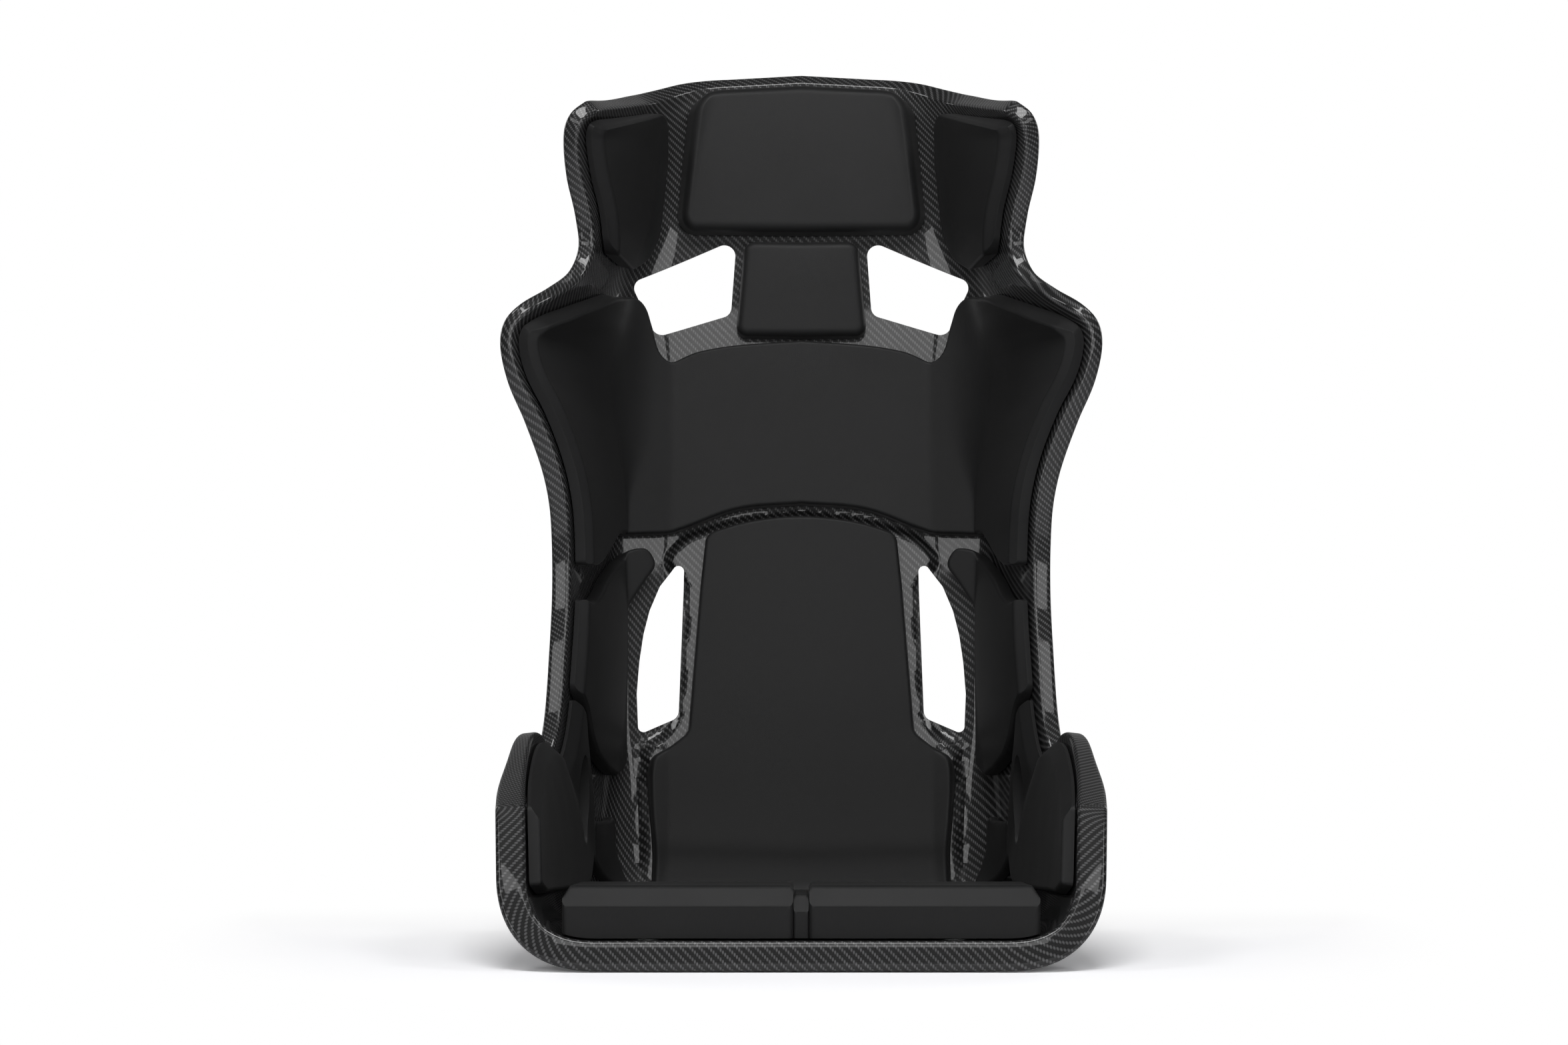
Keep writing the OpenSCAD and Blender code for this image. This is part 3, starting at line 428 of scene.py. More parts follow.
# The rim's profile, from the face to the turned-back edge
turn_r, edge_r, rim_return = 4.4, 4.4, 6.0
reach = width - (1 - np.cos(turn)) * turn_r - edge_r
profile = [("turn", s) for s in np.linspace(0, 1, 9)[1:]] + [("flat", s) for s in np.linspace(0, 1, 6)[1:]]
profile += [("edge", s) for s in np.linspace(0, 1, 7)[1:]] + [("back", s) for s in (0.5, 1)]
rim_tangent = edge_out * np.cos(turn)[:, None] - edge_normal * np.sin(turn)[:, None]
rim_facing = edge_normal * np.cos(turn)[:, None] + edge_out * np.sin(turn)[:, None]


def rim_ring(kind, s):
    """(points, facing, distance along the cloth) of one ring of the rim."""
    angle = turn * (s if kind == "turn" else 1)
    out, back = np.sin(angle) * turn_r, (1 - np.cos(angle)) * turn_r
    first = edge + edge_out * out[:, None] - edge_normal * back[:, None]
    if kind == "turn":
        facing = edge_normal * np.cos(angle)[:, None] + edge_out * np.sin(angle)[:, None]
        return first, facing, turn_r * angle
    run = turn_r * turn
    if kind == "flat":
        return first + rim_tangent * (reach * s)[:, None], rim_facing, run + reach * s
    bend = math.pi / 2 * (s if kind == "edge" else 1)
    spot = (first + rim_tangent * (reach + edge_r * math.sin(bend))[:, None]
            - rim_facing * edge_r * (1 - math.cos(bend)))
    facing = rim_facing * math.cos(bend) + rim_tangent * math.sin(bend)
    run = run + reach + edge_r * bend
    if kind == "back":
        spot, run = spot - rim_facing * rim_return * s, run + rim_return * s
    return spot, facing, run


def grid_quads(index):
    """The four corners of each cell of a grid of points."""
    corners = index[:-1, :-1], index[:-1, 1:], index[1:, 1:], index[1:, :-1]
    return np.stack(corners, -1).reshape(-1, 4)


rings = [rim_ring(kind, s) for kind, s in profile]
edge_cloth = np.stack([sheet_a[loop[:, 0], loop[:, 1]], sheet_t[loop[:, 0], loop[:, 1]]], -1)
cloth = np.vstack([np.stack([sheet_a.ravel(), sheet_t.ravel()], -1)]
                  + [edge_cloth + cloth_out * np.reshape(run, (-1, 1)) for _, _, run in rings])
front_side = np.vstack([sheet.reshape(-1, 3)] + [spot for spot, _, _ in rings])
facings = np.vstack([normals.reshape(-1, 3)] + [facing for _, facing, _ in rings])
rear_side = front_side - facings * wall
grid_index = np.arange((last_row + 1) * (last_column + 1)).reshape(last_row + 1, last_column + 1)
quads = grid_quads(grid_index)
ring_index = [grid_index[loop[:, 0], loop[:, 1]]]
ring_index += [grid_index.size + r * edge_count + np.arange(edge_count) for r in range(len(rings))]
for inner, outer in zip(ring_index, ring_index[1:]):
    quads = np.vstack([quads, np.stack([inner, outer, np.roll(outer, -1), np.roll(inner, -1)], -1)])
total = len(front_side)
last = ring_index[-1]
closing = np.stack([last + total, np.roll(last, -1) + total, np.roll(last, -1), last], -1)
shell = make_piece("carbon_shell", np.vstack([front_side, rear_side]),
                   np.vstack([quads, quads[:, ::-1] + total, closing]), np.vstack([cloth, cloth]))

# Openings: [x, z, radius] of each corner of the harness slots and vents, which are cut
# straight back. The belt holes are cut across, the crotch slot and insert holes downwards.
harness_slot = [[83, neck_z - 1, 12], [86, neck_z - 57, 11], [149, neck_z - 75, 12], [168, neck_z - 37, 11]]
vent = [[130, shoulder_z - 231, 6], [143, shoulder_z - 251, 8], [153, shoulder_z - 275, 8],
        [159, shoulder_z - 299, 8], [163, bend_z + 202, 8], [165.5, bend_z + 169, 8],
        [166, bend_z + 135, 6], [141, bend_z + 152, 12]]
belt_y, belt_z, belt_half_w, belt_half_h = pan_len - 47, 134.0, 11.0, 42.0
crotch_y, crotch_half, crotch_r = pan_len - 176, 19.0, 13.0
insert_x, insert_ys, insert_r = 145.0, (80.0, 340.0), 12.0
through_back, through_side, through_pan = (400.0, 700.0), (150.0, 300.0), (-20.0, 60.0)


def outline_round(circles, count=24):
    """Outline of a belt round circles [x, y, r], as points in order."""
    angles = np.linspace(0, 2 * math.pi, count * len(circles), endpoint=False)
    marks = np.array([[x + r * math.cos(t), y + r * math.sin(t)] for x, y, r in circles for t in angles])
    marks = marks[np.lexsort((marks[:, 1], marks[:, 0]))]
    lower, upper = [], []
    for run, source in ((lower, marks), (upper, marks[::-1])):
        for mark in source:
            while len(run) > 1 and np.cross(run[-1] - run[-2], mark - run[-2]) <= 0:
                run.pop()
            run.append(mark)
    return np.array(lower[:-1] + upper[:-1])


def make_cutter(outline, axis, start, end):
    """A prism of the outline along an axis, from start to end, in mm."""
    count = len(outline)
    points = []
    for depth in (start, end):
        for u, v in outline:
            points.append({"y": (u, depth, v), "x": (depth, u, v), "z": (u, v, depth)}[axis])
    mesh = bpy.data.meshes.new("cutter")
    spot = (np.array(points) - (0, lip_to_middle, 0)) / 1000.0
    sides = [(k, (k + 1) % count, count + (k + 1) % count, count + k) for k in range(count)]
    mesh.from_pydata(spot.tolist(), [], [tuple(range(count))[::-1], tuple(range(count, 2 * count))] + sides)
    mesh.update()
    cutter = bpy.data.objects.new("cutter", mesh)
    bpy.context.scene.collection.objects.link(cutter)
    bpy.context.view_layer.objects.active = cutter
    cutter.select_set(True)
    bpy.ops.object.mode_set(mode="EDIT")
    bpy.ops.mesh.select_all(action="SELECT")
    bpy.ops.mesh.normals_make_consistent(inside=False)
    bpy.ops.object.mode_set(mode="OBJECT")
    cutter.select_set(False)
    return cutter


def cut_with(piece, cutters):
    """Takes the cutters out of a piece, and leaves its cut edges sharp."""
    for cutter in cutters:
        tool = piece.modifiers.new("cut", "BOOLEAN")
        tool.operation = "DIFFERENCE"
        tool.solver = "MANIFOLD"
        tool.object = cutter
    bpy.context.view_layer.update()
    cut = bpy.data.meshes.new_from_object(piece.evaluated_get(bpy.context.evaluated_depsgraph_get()))
    piece.modifiers.clear()
    piece.data = cut
    for cutter in cutters:
        bpy.data.objects.remove(cutter)
    cut.set_sharp_from_angle(angle=math.radians(40.0))


def belt_cutter(side, grow):
    """Cutter for the oval belt hole of one side, larger all round by grow."""
    turns = np.linspace(0, 2 * math.pi, 64, endpoint=False)
    ys = belt_y + (belt_half_w + grow) * np.cos(turns)
    zs = belt_z + (belt_half_h + grow) * np.sin(turns)
    return make_cutter(np.stack([ys, zs], -1), "x", *(side * end for end in through_side))


cutters = []
for side in (-1, 1):
    for corners in (harness_slot, vent):
        outline = outline_round([[side * x, z, r] for x, z, r in corners])
        cutters.append(make_cutter(outline, "y", *through_back))
    cutters.append(belt_cutter(side, 0.0))
    for y in insert_ys:
        hole = outline_round([[side * insert_x, y, insert_r]], count=48)
        cutters.append(make_cutter(hole, "z", *through_pan))
crotch_slot = outline_round([[x, crotch_y, crotch_r] for x in (-crotch_half, crotch_half)])
cutters.append(make_cutter(crotch_slot, "z", *through_pan))
cut_with(shell, cutters)


class Wire:
    """One output of a shader node. Sums and products of wires add Math nodes."""

    def __init__(self, tree, socket=None):
        self.tree, self.socket = tree, socket

    def node(self, kind, settings=(), inputs=(), output=0):
        """One output of a new node of this kind, with its settings and inputs."""
        made = self.tree.nodes.new("ShaderNode" + kind)
        for name, value in dict(settings).items():
            setattr(made, name, value)
        for name, value in dict(inputs).items():
            if isinstance(value, Wire):
                self.tree.links.new(value.socket, made.inputs[name])
            else:
                made.inputs[name].default_value = value
        return Wire(self.tree, made.outputs[output])

    def math(self, operation, *values):
        return self.node("Math", {"operation": operation}, dict(enumerate(values)))

    def __add__(self, other):
        return self.math("ADD", self, other)

    def __sub__(self, other):
        return self.math("SUBTRACT", self, other)

    def __rsub__(self, other):
        return self.math("SUBTRACT", other, self)

    def __mul__(self, other):
        return self.math("MULTIPLY", self, other)

    def __truediv__(self, other):
        return self.math("DIVIDE", self, other)

    def __pow__(self, other):
        return self.math("POWER", self, other)

    def __lt__(self, other):
        return self.math("LESS_THAN", self, other)

    def __gt__(self, other):
        return self.math("GREATER_THAN", self, other)

    __radd__, __rmul__ = __add__, __mul__

    def part(self, operation):
        """The floor, fraction or size of this wire's value."""
        return self.math(operation, self)

    def smooth_step(self, low, high, at_low=0.0, at_high=1.0):
        """at_low where this wire is low or less, at_high where it is high or more."""
        return self.node("MapRange", {"interpolation_type": "SMOOTHSTEP"},
                         {0: self, 1: low, 2: high, 3: at_low, 4: at_high})

    def into(self, shader, name):
        """Leads this wire into a shader's socket."""
        self.tree.links.new(self.socket, shader.inputs[name])

    def mix(self, low, high):
        """low where this wire is 0, high where it is 1."""
        if isinstance(low, (tuple, list)):
            return self.node("Mix", {"data_type": "RGBA"}, {0: self, 6: low, 7: high}, 2)
        return self.node("Mix", {"data_type": "FLOAT"}, {0: self, 2: low, 3: high})


def new_finish(name, settings):
    """(material, start of its wires, its shader), with the shader's fixed values set."""
    finish = bpy.data.materials.new(name)
    finish.use_nodes = True
    shader = finish.node_tree.nodes["Principled BSDF"]
    for socket, value in settings.items():
        shader.inputs[socket].default_value = value
    return finish, Wire(finish.node_tree), shader


def grey(value):
    """A grey with a trace of blue."""
    return (value, value, value * 1.02, 1.0)


def coat(piece, finish):
    """Gives a piece this finish and no other."""
    piece.data.materials.clear()
    piece.data.materials.append(finish)


def hump(place):
    """0 where the place is 0 or 1, and 1 half way between."""
    return 1.0 - (place * 2.0 - 1.0) ** 2.0


def tow_height(place_across, place_along):
    """Height of a tow, rounded across it and arched between the two places where it dips."""
    return hump(place_across) * 0.45 + hump(place_along) * 0.55


# Two-by-two twill: each tow passes over two and under two, a step further on each row. The
# steps lean the other way on the flanks of the hips.
tow, hip_flank_a = 2.16, 350.0
carbon, start, shader = new_finish("lacquered_twill_carbon", {
    "IOR": 1.5, "Specular IOR Level": 0.3, "Coat Weight": 1.0, "Coat Roughness": 0.03, "Coat IOR": 1.5})
spread = start.node("UVMap", {"uv_map": "cloth"})
across = start.node("SeparateXYZ", (), {0: spread}, 0) / tow
along_cloth = start.node("SeparateXYZ", (), {0: spread}, 1) / tow
across_cell, along_cell = across.part("FLOOR"), along_cloth.part("FLOOR")
across_in, along_in = across.part("FRACT"), along_cloth.part("FRACT")
behind_lip = (along_cloth > 0.0) * (along_cloth < notch_t / tow)
lean = (across.part("ABSOLUTE") > hip_flank_a / tow) * behind_lip * 2.0 - 1.0
order = start.math("FLOORED_MODULO", across_cell * lean - along_cell, 4.0)
warp_up = order < 1.5
warp_run = (along_in + 1.0 - order) / 2.0
weft_run = (across_in + 0.5 + lean * (order - 2.5)) / 2.0
warp_height, weft_height = tow_height(across_in, warp_run), tow_height(along_in, weft_run)
height = warp_up.mix(weft_height, warp_height)
# The weave pattern in the base colour, with a painted sheen on each warp float that is brightest at its
# middle; the weft tows between are left dark
weave_with_painted_sheen = warp_up.mix(weft_height * 0.08, warp_height ** 2.2)
cloud = start.node("TexNoise", {"noise_dimensions": "2D"}, {"Vector": spread, "Scale": 0.02, "Detail": 3.0})
tint = (weave_with_painted_sheen * (cloud * 0.5 + 0.75)).mix(grey(0.002), grey(0.14))
tint.into(shader, "Base Color")
rough = warp_up.mix(0.5, 0.38)
rough.into(shader, "Roughness")
bump = start.node("Bump", (), {"Strength": 0.5, "Distance": 0.0004, "Height": height})
bump.into(shader, "Normal")
coat(shell, carbon)
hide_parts("shell")
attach(shell, "root")

# ---------------------------------------------------------------------------
# Head pad: closed-cell foam with a soft matte skin, moulded with rounded edges and
# a slight crown. Like every pad it is held to the shell by hook-and-loop patches.
pad_gap = 2.0
foam, start, shader = new_finish("moulded_foam", {
    "IOR": 1.45, "Specular IOR Level": 0.24, "Sheen Weight": 0.03, "Sheen Roughness": 0.4})
spread = start.node("UVMap", {"uv_map": "cloth"})
grain = start.node("TexNoise", {"noise_dimensions": "2D"}, {"Vector": spread, "Scale": 1.3, "Detail": 3.0})
pores = start.node("TexVoronoi", {"voronoi_dimensions": "2D"}, {"Vector": spread, "Scale": 0.9})
cloud = start.node("TexNoise", {"noise_dimensions": "2D"},
                   {"Vector": spread, "Scale": 0.012, "Detail": 4.0})
tint = (grain * 0.4 + cloud * 0.6).mix(grey(0.013), grey(0.023))
tint.into(shader, "Base Color")
rough = cloud * 0.1 + grain * 0.06 + 0.38
rough.into(shader, "Roughness")
bump = start.node("Bump", (), {"Strength": 0.25, "Distance": 0.0002, "Height": grain * 0.6 + pores * 0.4})
bump.into(shader, "Normal")


def shares(count):
    """Shares from 0 to 1 that lie closer together at both ends."""
    return (1 - np.cos(np.pi * np.arange(count + 1) / count)) / 2


def on_face(a, t, h):
    """Point at a height h over the inner face and its raised panel."""
    return above(a, t, rise(a, t) + h)


def quarter_round(gap, radius):
    """Drop of a rounded edge, at a gap from it."""
    return radius - np.sqrt(np.maximum(0, radius**2 - np.maximum(0, radius - gap) ** 2))


def make_pad(name, node, outline, thick, cells, corner, edge_r=3.5, bevels=(0, 0, 0, 0), crown=2.0,
             put=on_face, foot=on_face, lost=None):
    """A pad on the face. outline(p, q) gives its (a, t) at shares across and along. Its edges
    are rounded; bevels are the widths of the wide ones at p = 0, p = 1, q = 0 and q = 1.
    lost(a, t, away) gives the drop of its top instead, away being the gap from its edge."""
    side_rings, least_side, side_cloth = (0.1, 0.4, 0.7, 0.92), 3, 3.0
    n, m = cells
    p, q = np.meshgrid(shares(n), shares(m), indexing="ij")
    span = np.hypot(*np.subtract(outline(p * 0 + 1, q), outline(p * 0, q)))
    tall = np.hypot(*np.subtract(outline(p, q * 0 + 1), outline(p, q * 0)))
    inset = quarter_round(np.minimum(p, 1 - p) * span, corner) / tall
    q_in = inset + (1 - 2 * inset) * q
    a, t = outline(p, q_in)
    index = np.arange((n + 1) * (m + 1)).reshape(n + 1, m + 1)
    ring = np.concatenate([index[:-1, 0], index[-1, :-1], index[:0:-1, -1], index[0, :0:-1]])
    flat = np.stack([a.ravel(), t.ravel()], -1)
    away = to_line(flat, flat[np.append(ring, ring[0])]).reshape(a.shape)
    away.ravel()[ring] = 0
    drop = lost(a, t, away) if lost else quarter_round(away, edge_r)
    deepest = thick - pad_gap - least_side
    for width, gap in zip(bevels, (p * span, (1 - p) * span, q_in * tall, (1 - q_in) * tall)):
        if width:
            slant = min(width, deepest) * (1 - soft_ramp(gap / width, 0.08))
            drop = np.minimum(np.cbrt(drop**3 + slant**3), deepest)
    bulge = crown * 16 * p * (1 - p) * q * (1 - q)
    top = put(a, t, thick - drop + bulge).reshape(-1, 3)
    base = foot(a, t, pad_gap + 0 * a).reshape(-1, 3)
    points, cloths, bands = [top], [flat], [ring]
    for k, share in enumerate(side_rings):
        points.append(top[ring] + (base[ring] - top[ring]) * share)
        cloths.append(flat[ring] + share * side_cloth)
        bands.append(len(top) + k * len(ring) + np.arange(len(ring)))
    base_start = len(top) + len(side_rings) * len(ring)
    points.append(base)
    cloths.append(flat)
    bands.append(ring + base_start)
    quads = grid_quads(index.T)
    faces = [quads, quads[:, ::-1] + base_start]
    for high, low in zip(bands, bands[1:]):
        faces.append(np.stack([low, np.roll(low, -1), np.roll(high, -1), high], -1))
    pad = make_piece(name, np.vstack(points), np.vstack(faces), np.vstack(cloths))
    pad.data.set_sharp_from_angle(angle=math.radians(50.0))
    coat(pad, foam)
    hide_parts(node)
    return pad


def finish_pad(pad):
    """Fixes a pad to the seat."""
    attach(pad, "root")


def taper(low, high, wide_low, wide_high):
    """Outline from t = low to t = high, with these half widths at its ends."""
    return lambda p, q: ((2 * p - 1) * (wide_low + (wide_high - wide_low) * q), low + (high - low) * q)


head_outline = taper(low=top_t - 171, high=top_t - 8, wide_low=136, wide_high=124)
finish_pad(make_pad("head_foam", "head_pad", head_outline, thick=26.0, cells=(90, 64), corner=24.0,
                    edge_r=10.0))

# ---------------------------------------------------------------------------
# Neck pad: a small block of moulded foam between the harness slots. It narrows upwards
# and has rounded edges.
neck_outline = taper(low=level(neck_z - 92), high=level(neck_z + 10), wide_low=70, wide_high=61)
finish_pad(make_pad("neck_foam", "neck_pad", neck_outline, thick=22.0, cells=(56, 44), corner=12.0,
                    edge_r=8.0))

# ---------------------------------------------------------------------------
# Head side pads: moulded foam inside the head wings, with a wide bevel along the rim
# and a narrow one along the top.


def edge_line(rows, soft):
    """Edge of a pad, as a at each t, with its corners eased over soft mm."""
    ts, wide = np.array(rows, float).T
    return lambda t: sum(np.interp(t + d, ts, wide) for d in np.linspace(-soft, soft, 9)) / 9


def sided(side, outline):
    """An outline on the +X half, put on either side; s runs from the middle outwards."""
    def placed(p, q):
        a, t = outline(p if side > 0 else 1 - p, q)
        return side * a, t
    return placed


def rim_bevel(side, width, top=0):
    """Bevels of a side pad, along the rim and along the top."""
    return (0, width, 0, top) if side > 0 else (width, 0, 0, top)


def mix(a, b, s):
    """a where the share s is 0, b where it is 1."""
    return a + (b - a) * s


head_side_in = edge_line([[neck_t + 3, 203], [neck_t + 15, 178], [neck_t + 40, 164], [top_t - 90, 162],
                          [top_t - 40, 168], [top_t - 12, 182]], 5.0)


def head_side(s, q):
    """Outline that comes nearer to the rim upwards."""
    from_top, from_rim = mix(12, 20, s), mix(24, 7, q)
    t = mix(neck_t + 3, top_t - from_top, q)
    return mix(head_side_in(t), girth(t) - from_rim, s), t


sides = (("left", -1), ("right", 1))
for word, side in sides:
    finish_pad(make_pad("head_side_foam_" + word, "head_side_pad_" + word, sided(side, head_side),
                        thick=18.0, cells=(56, 70), corner=18.0, bevels=rim_bevel(side, 10.0, 4.0)))

# ---------------------------------------------------------------------------
# Shoulder pad: foam, moulded in one long piece from wing to wing over the upper back,
# with a bevel along the rim at both ends.
rim_margin = 8

# Its lower and upper edges, as t beyond shoulder_t at shares of the way out
shoulder_low = np.array([[0, -112], [0.18, -120], [0.36, -145], [0.5, -156], [0.66, -170],
                         [0.9, -236], [1, -253]])
shoulder_high = np.array([[0, 64], [0.18, 58], [0.27, 51], [0.361, 39], [0.446, 75], [0.526, 99],
                          [0.6, 106], [0.78, 99], [0.9, 79], [0.97, 56], [1, 31]])


def shoulder(p, q):
    """Outline between both edges, out to the rim on either side."""
    u = 2 * p - 1
    low, high = curve(shoulder_low, np.abs(u))[..., 1], curve(shoulder_high, np.abs(u))[..., 1]
    t = shoulder_t + mix(low, high, q)
    return u * (girth(t) - rim_margin), t


finish_pad(make_pad("shoulder_foam", "shoulder_pad", shoulder, thick=20.0, cells=(220, 90), corner=6.0,
                    bevels=(7.5, 7.5, 0, 0)))

# ---------------------------------------------------------------------------
# Lower back pad: a thin piece of moulded foam on the raised panel, narrow between the
# vents and wide below, with small rounded edges.
lower_foot, lower_top, lower_bow = bend_t - 59, shoulder_t - 127, 22
lower_edge = edge_line([[lower_foot, 157], [bend_t + 35, 165], [bend_t + 73, 167], [bend_t + 95, 163],
                        [bend_t + 123, 119], [lower_top - 83, 107], [lower_top - 25, 101]], 7.0)


def lower_back(p, q):
    """Outline with its upper edge bowed down at both ends."""
    u = 2 * p - 1
    t = mix(lower_foot, lower_top - lower_bow * u**2, q)
    return u * lower_edge(t), t


finish_pad(make_pad("lower_back_foam", "lower_back_pad", lower_back, thick=14.0, cells=(90, 110),
                    corner=8.0, edge_r=4.0))

# ---------------------------------------------------------------------------
# Rib pads: moulded foam on the side walls of the waist, lapping on to the back, with a
# bevel along the rim.
rib_foot, rib_top, rib_slope = bend_t + 57, shoulder_t - 168, 128
rib_in = edge_line([[rib_foot, 218], [rib_foot + 18, 196], [rib_top - 72, 192], [rib_top - 37, 171],
                    [rib_top - 16, 157], [rib_top, 166]], 6.0)
rib_low = edge_line([[0, -2], [0.25, -14], [0.5, -22], [0.66, -18], [0.82, -1], [1, 3]], 0.04)


def rib(s, q):
    """Outline whose upper edge slopes down to the rim."""
    t = mix(rib_foot + rib_low(s), rib_top - rib_slope * ease(s), q)
    return mix(rib_in(t), girth(t) - rim_margin, s), t


for word, side in sides:
    finish_pad(make_pad("rib_foam_" + word, "rib_pad_" + word, sided(side, rib), thick=16.0,
                        cells=(60, 80), corner=8.0, bevels=rim_bevel(side, 9.0)))

# ---------------------------------------------------------------------------
# Hip pads: moulded foam inside the hip wings, with a bevel along the rim. The hole for
# the lap belt is cut through after moulding, a little wider than the shell's.
hip_foot, hip_top, belt_clear = 12.0, bend_t + 51, 3.5
hip_in = edge_line([[hip_foot, 284], [60, 272], [pan_len - 115, 262], [pan_len + 5, 254],
                    [notch_t + 12, 270], [bend_t - 27, 287], [bend_t + 9, 314], [bend_t + 27, 330],
                    [hip_top, 342]], 6.0)


def hip(s, q):
    """Outline that draws back from the rim towards its rear."""
    from_rim = mix(1, 12, q)
    t = mix(hip_foot, hip_top, q)
    return mix(hip_in(t), girth(t) - from_rim, s), t


for word, side in sides:
    pad = make_pad("hip_foam_" + word, "hip_pad_" + word, sided(side, hip), thick=14.0,
                   cells=(64, 130), corner=5.0, bevels=rim_bevel(side, 14.0))
    cut_with(pad, [belt_cutter(side, belt_clear)])
    finish_pad(pad)

# ---------------------------------------------------------------------------
# Rear hip pads: small thin pieces of moulded foam in the corners behind the hips,
# between the lower back pad and the hip pads.
rear_foot, rear_top, rear_slope = bend_t - 59, bend_t + 18, 42
rear_in = edge_line([[rear_foot, 178], [bend_t - 30, 198], [bend_t - 12, 210], [bend_t + 9, 211],
                     [rear_top, 218]], 4.0)


def rear_hip(s, q):
    """Outline whose upper edge slopes down outwards."""
    outer = mix(256, 278, q)
    t = mix(rear_foot, rear_top - rear_slope * s, q)
    return mix(rear_in(t), outer, s), t


for word, side in sides:
    finish_pad(make_pad("rear_hip_foam_" + word, "rear_hip_pad_" + word, sided(side, rear_hip),
                        thick=12.0, cells=(36, 36), corner=5.0))

# ---------------------------------------------------------------------------
# Seat cushions: thick moulded foam, held on the pan by patches. Two thigh pads have a
# steep front, a filler strip lies between them, and a flat pad lies behind.


def pan_at(x, y):
    """Height of the pan's upper face."""
    centre, _, flat_end, _, bend_start, corner, bend_end, _ = section(y)
    wide = np.abs(x)
    x0, z0, x1, z1 = flat_end[..., 0], flat_end[..., 2], bend_start[..., 0], bend_start[..., 2]
    flat = np.where(wide < x0, centre[..., 2], z0 + (z1 - z0) * (wide - x0) / (x1 - x0))
    share = 1 - np.sqrt(np.maximum(0, corner[..., 0] - wide) / (corner[..., 0] - x1))
    bent = bend_point(bend_start, corner, bend_end, share[..., None])[..., 2]
    return np.where(wide < x1, flat, bent)


def on_pan(x, y, h):
    """Point at a height h over the pan's middle line, for a cushion's top, straight across."""
    return np.stack([x, y, curve(middle, y)[..., 2] + h], -1)


def under_pan(x, y, h):
    """Point at a height h over the pan, for the foot of a cushion."""
    return np.stack([x, y, pan_at(x, y) + h], -1)


def add_cushion(name, node, x_span, y_span, thick, cells, corner, left, right, front, rear, crown=0.0):
    """A cushion whose top falls away to its sides over left, right and rear, and to its front
    by front = (run, drop)."""
    (x0, x1), (y0, y1), (front_run, front_drop) = x_span, y_span, front
    side_steep, edge_drop, edge_run = 1.7, 1.5, 2.0

    def outline(p, q):
        return mix(x0, x1, p), mix(y0, y1, q)

    def fall(gap, run, drop):
        return drop * (1 - soft_ramp(gap / run, 0.05))

    def lost(x, y, away):
        to_sides = np.maximum(fall(x - x0, left, left * side_steep),
                              fall(x1 - x, right, right * side_steep))
        to_ends = np.maximum(fall(y - y0, front_run, front_drop), fall(y1 - y, rear, rear))
        return np.maximum(np.maximum(to_sides, to_ends), edge_drop * np.maximum(0, 1 - away / edge_run))

    finish_pad(make_pad(name, node, outline, thick, cells, corner, crown=crown, put=on_pan,
                        foot=under_pan, lost=lost))


thigh_in, thigh_out, thigh_front, thigh_rear = 7.5, 222.0, 8, pan_len - 197
for word, side in sides:
    x_span = (thigh_in, thigh_out) if side > 0 else (-thigh_out, -thigh_in)
    left, right = (2.5, 7.0) if side > 0 else (7.0, 2.5)
    add_cushion("thigh_foam_" + word, "thigh_pad_" + word, x_span, (thigh_front, thigh_rear), thick=51.0,
                cells=(70, 70), corner=5.0, left=left, right=right, front=(14.0, 20.0), rear=12.0)
add_cushion("channel_foam", "channel_pad", (-7, 7), (thigh_front + 4, thigh_rear - 6), thick=43.0,
            cells=(12, 60), corner=2.0, left=2.0, right=2.0, front=(11.0, 17.0), rear=4.0)
add_cushion("seat_foam", "seat_pad", (-160, 160), (crotch_y + 23, pan_len - 5), thick=36.0,
            cells=(70, 40), corner=12.0, left=12.0, right=12.0, front=(14.0, 14.0), rear=14.0, crown=1.0)

# ---------------------------------------------------------------------------
# Inserts and load plates: turned and cut aluminium, bonded in the pan under the
# cushions; the bolts of the seat's brackets go into the inserts from below.
alloy, start, shader = new_finish("turned_aluminium", {"Metallic": 1.0, "IOR": 1.5})
where = start.node("TexCoord", (), (), "Object")
lines = start.node("TexNoise", (), {
    "Vector": start.node("VectorMath", {"operation": "MULTIPLY"}, {0: where, 1: (60.0, 4000.0, 60.0)}),
    "Scale": 1.0, "Detail": 2.0})
lines.mix(grey(0.50), grey(0.66)).into(shader, "Base Color")
(lines * 0.25 + 0.28).into(shader, "Roughness")
for node in ("mount_inserts_front", "mount_inserts_rear", "load_plates_front", "load_plates_rear"):
    coat(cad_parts[node], alloy)

# ---------------------------------------------------------------------------
# Hook-and-loop patches: black woven tape glued to the shell, with the hooks of the
# pad's half pressed into its loops.
tape, start, shader = new_finish("hook_and_loop_tape", {"IOR": 1.45, "Sheen Weight": 0.4})
where = start.node("TexCoord", (), (), "Object")
loops = start.node("TexVoronoi", (), {"Vector": where, "Scale": 900.0})
loops.mix(grey(0.012), grey(0.05)).into(shader, "Base Color")
(loops * 0.2 + 0.7).into(shader, "Roughness")
bump = start.node("Bump", (), {"Strength": 0.6, "Distance": 0.0004, "Height": loops})
bump.into(shader, "Normal")
for node in ("patches_head", "patches_back", "patches_sides", "patches_seat"):
    coat(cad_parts[node], tape)

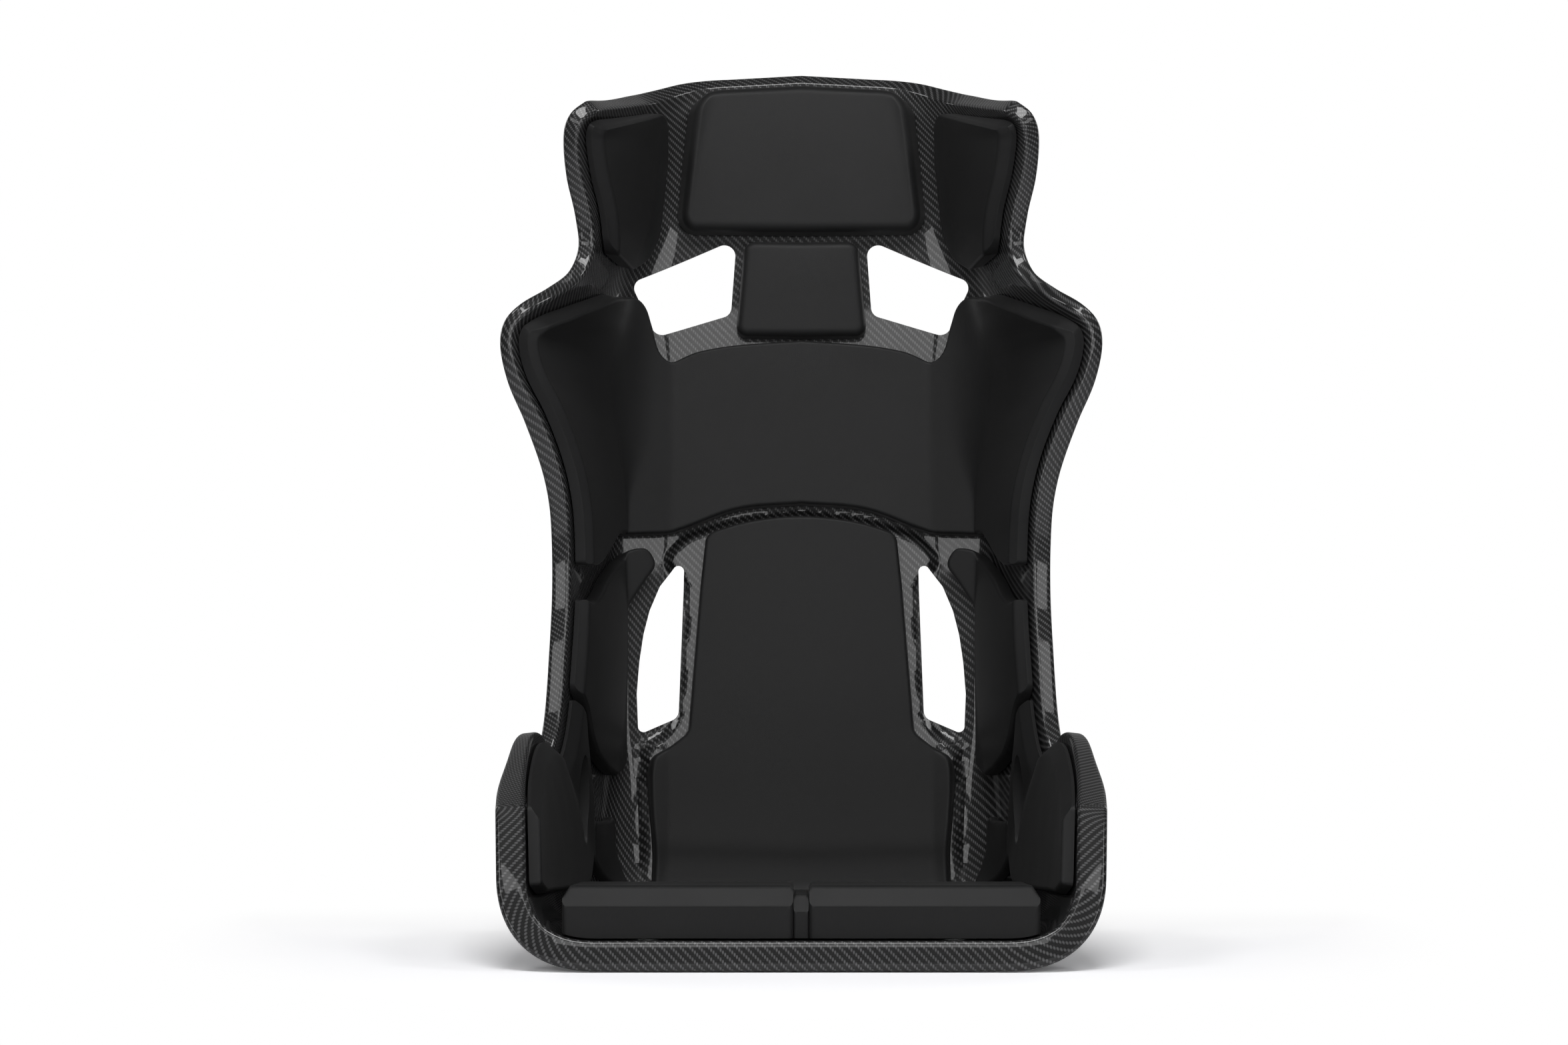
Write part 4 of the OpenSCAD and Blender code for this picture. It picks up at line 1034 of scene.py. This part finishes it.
# ---------------------------------------------------------------------------
# Floor: a wide pale studio floor, painted matt, which shows the seat's soft shadow and
# runs out into white all round.
floor_half, floor_front, floor_rear = 30, -12, 40
floor_corners = [(-floor_half, floor_front, 0), (floor_half, floor_front, 0),
                 (floor_half, floor_rear, 0), (-floor_half, floor_rear, 0)]
floor_mesh = bpy.data.meshes.new("studio_floor")
floor_mesh.from_pydata(floor_corners, [], [(0, 1, 2, 3)])
floor = bpy.data.objects.new("studio_floor", floor_mesh)
bpy.context.scene.collection.objects.link(floor)
paint, start, shader = new_finish("pale_floor", {
    "Base Color": grey(0.8), "Roughness": 0.9, "Specular IOR Level": 0.1})
where = start.node("TexCoord", (), (), "Object")
from_seat = start.node("VectorMath", {"operation": "LENGTH"}, {0: where}, 1)
behind_y = start.node("SeparateXYZ", (), {0: where}, 1)
far = start.math("MAXIMUM", from_seat.smooth_step(low=0.4, high=0.66),
                 behind_y.smooth_step(low=-0.24, high=0.3))
seen = start.node("LightPath", (), (), "Is Camera Ray")
white = start.node("Emission", (), {"Color": (1, 1, 1, 1), "Strength": 1.0})

# The camera sees the floor near the seat with three times the light of this grey
near_floor = lit = start.node("BsdfDiffuse", (), {"Color": grey(0.56)})
for _ in range(2):
    near_floor = start.node("AddShader", (), {0: near_floor, 1: lit})
seen_floor = start.node("MixShader", (), {0: far, 1: near_floor, 2: white})
both = start.node("MixShader", (), {0: seen, 1: Wire(start.tree, shader.outputs[0]), 2: seen_floor})
both.into(start.tree.nodes["Material Output"], "Surface")
coat(floor, paint)

# ---------------------------------------------------------------------------
# Light: soft panels, one above, one in front, and on either side a strip, one above, one
# in front and one behind. The room is dim, a little less so behind the seat, and the
# camera sees it white.


def add_panel(name, spot, aim, size, power):
    """A lamp at a spot, facing an aim, both in metres, with its power in watts."""
    lamp = bpy.data.lights.new(name, "AREA")
    lamp.shape = "RECTANGLE"
    lamp.size, lamp.size_y = size
    lamp.energy = power
    panel_light = bpy.data.objects.new(name, lamp)
    panel_light.location = spot
    panel_light.rotation_euler = (Vector(aim) - Vector(spot)).to_track_quat("-Z", "Y").to_euler()
    bpy.context.scene.collection.objects.link(panel_light)


add_panel("panel_above", spot=(0, -1.3, 2.7), aim=(0, 0, 0.3), size=(1.2, 1.0), power=25.0)
add_panel("panel_front", spot=(0, -3.1, 1.2), aim=(0, 0.1, 0.55), size=(2.3, 1.8), power=24.0)
for side in (-1, 1):
    add_panel("strip", spot=(side * 2.1, -2.77, 0.64), aim=(side * 0.2, 0, 0.45), size=(0.66, 0.73),
              power=3.2)
    add_panel("side_above", spot=(side * 1.15, -0.4, 2.2), aim=(0, 0, 0), size=(0.5, 0.5), power=4.0)
    add_panel("side_front", spot=(side * 2.05, -2.7, 1.75), aim=(side * 0.15, 0, 0.6), size=(1.15, 0.7),
              power=5.2)
    add_panel("side_behind", spot=(side * 2.4, 1.8, 1.3), aim=(side * 0.1, 0, 0.45), size=(1.3, 1.3),
              power=9.0)

world = bpy.data.worlds.new("studio")
bpy.context.scene.world = world
world.use_nodes = True
start = Wire(world.node_tree)
way = start.node("TexCoord", (), (), "Generated")
rearward = start.node("SeparateXYZ", (), {0: way}, 1)
room = rearward.smooth_step(low=0.2, high=0.9, at_low=0.02, at_high=0.15)

# White where the camera looks past the seat, the dim room in every reflection
eye = start.node("LightPath", (), (), "Is Camera Ray")
clear = start.node("LightPath", (), (), "Is Transmission Ray")
strength = start.math("MAXIMUM", eye, clear).mix(room, 1.0)
backdrop = world.node_tree.nodes["Background"]
backdrop.inputs["Color"].default_value = (1, 1, 1, 1)
strength.into(backdrop, "Strength")

bpy.context.scene.view_settings.view_transform = "Standard"
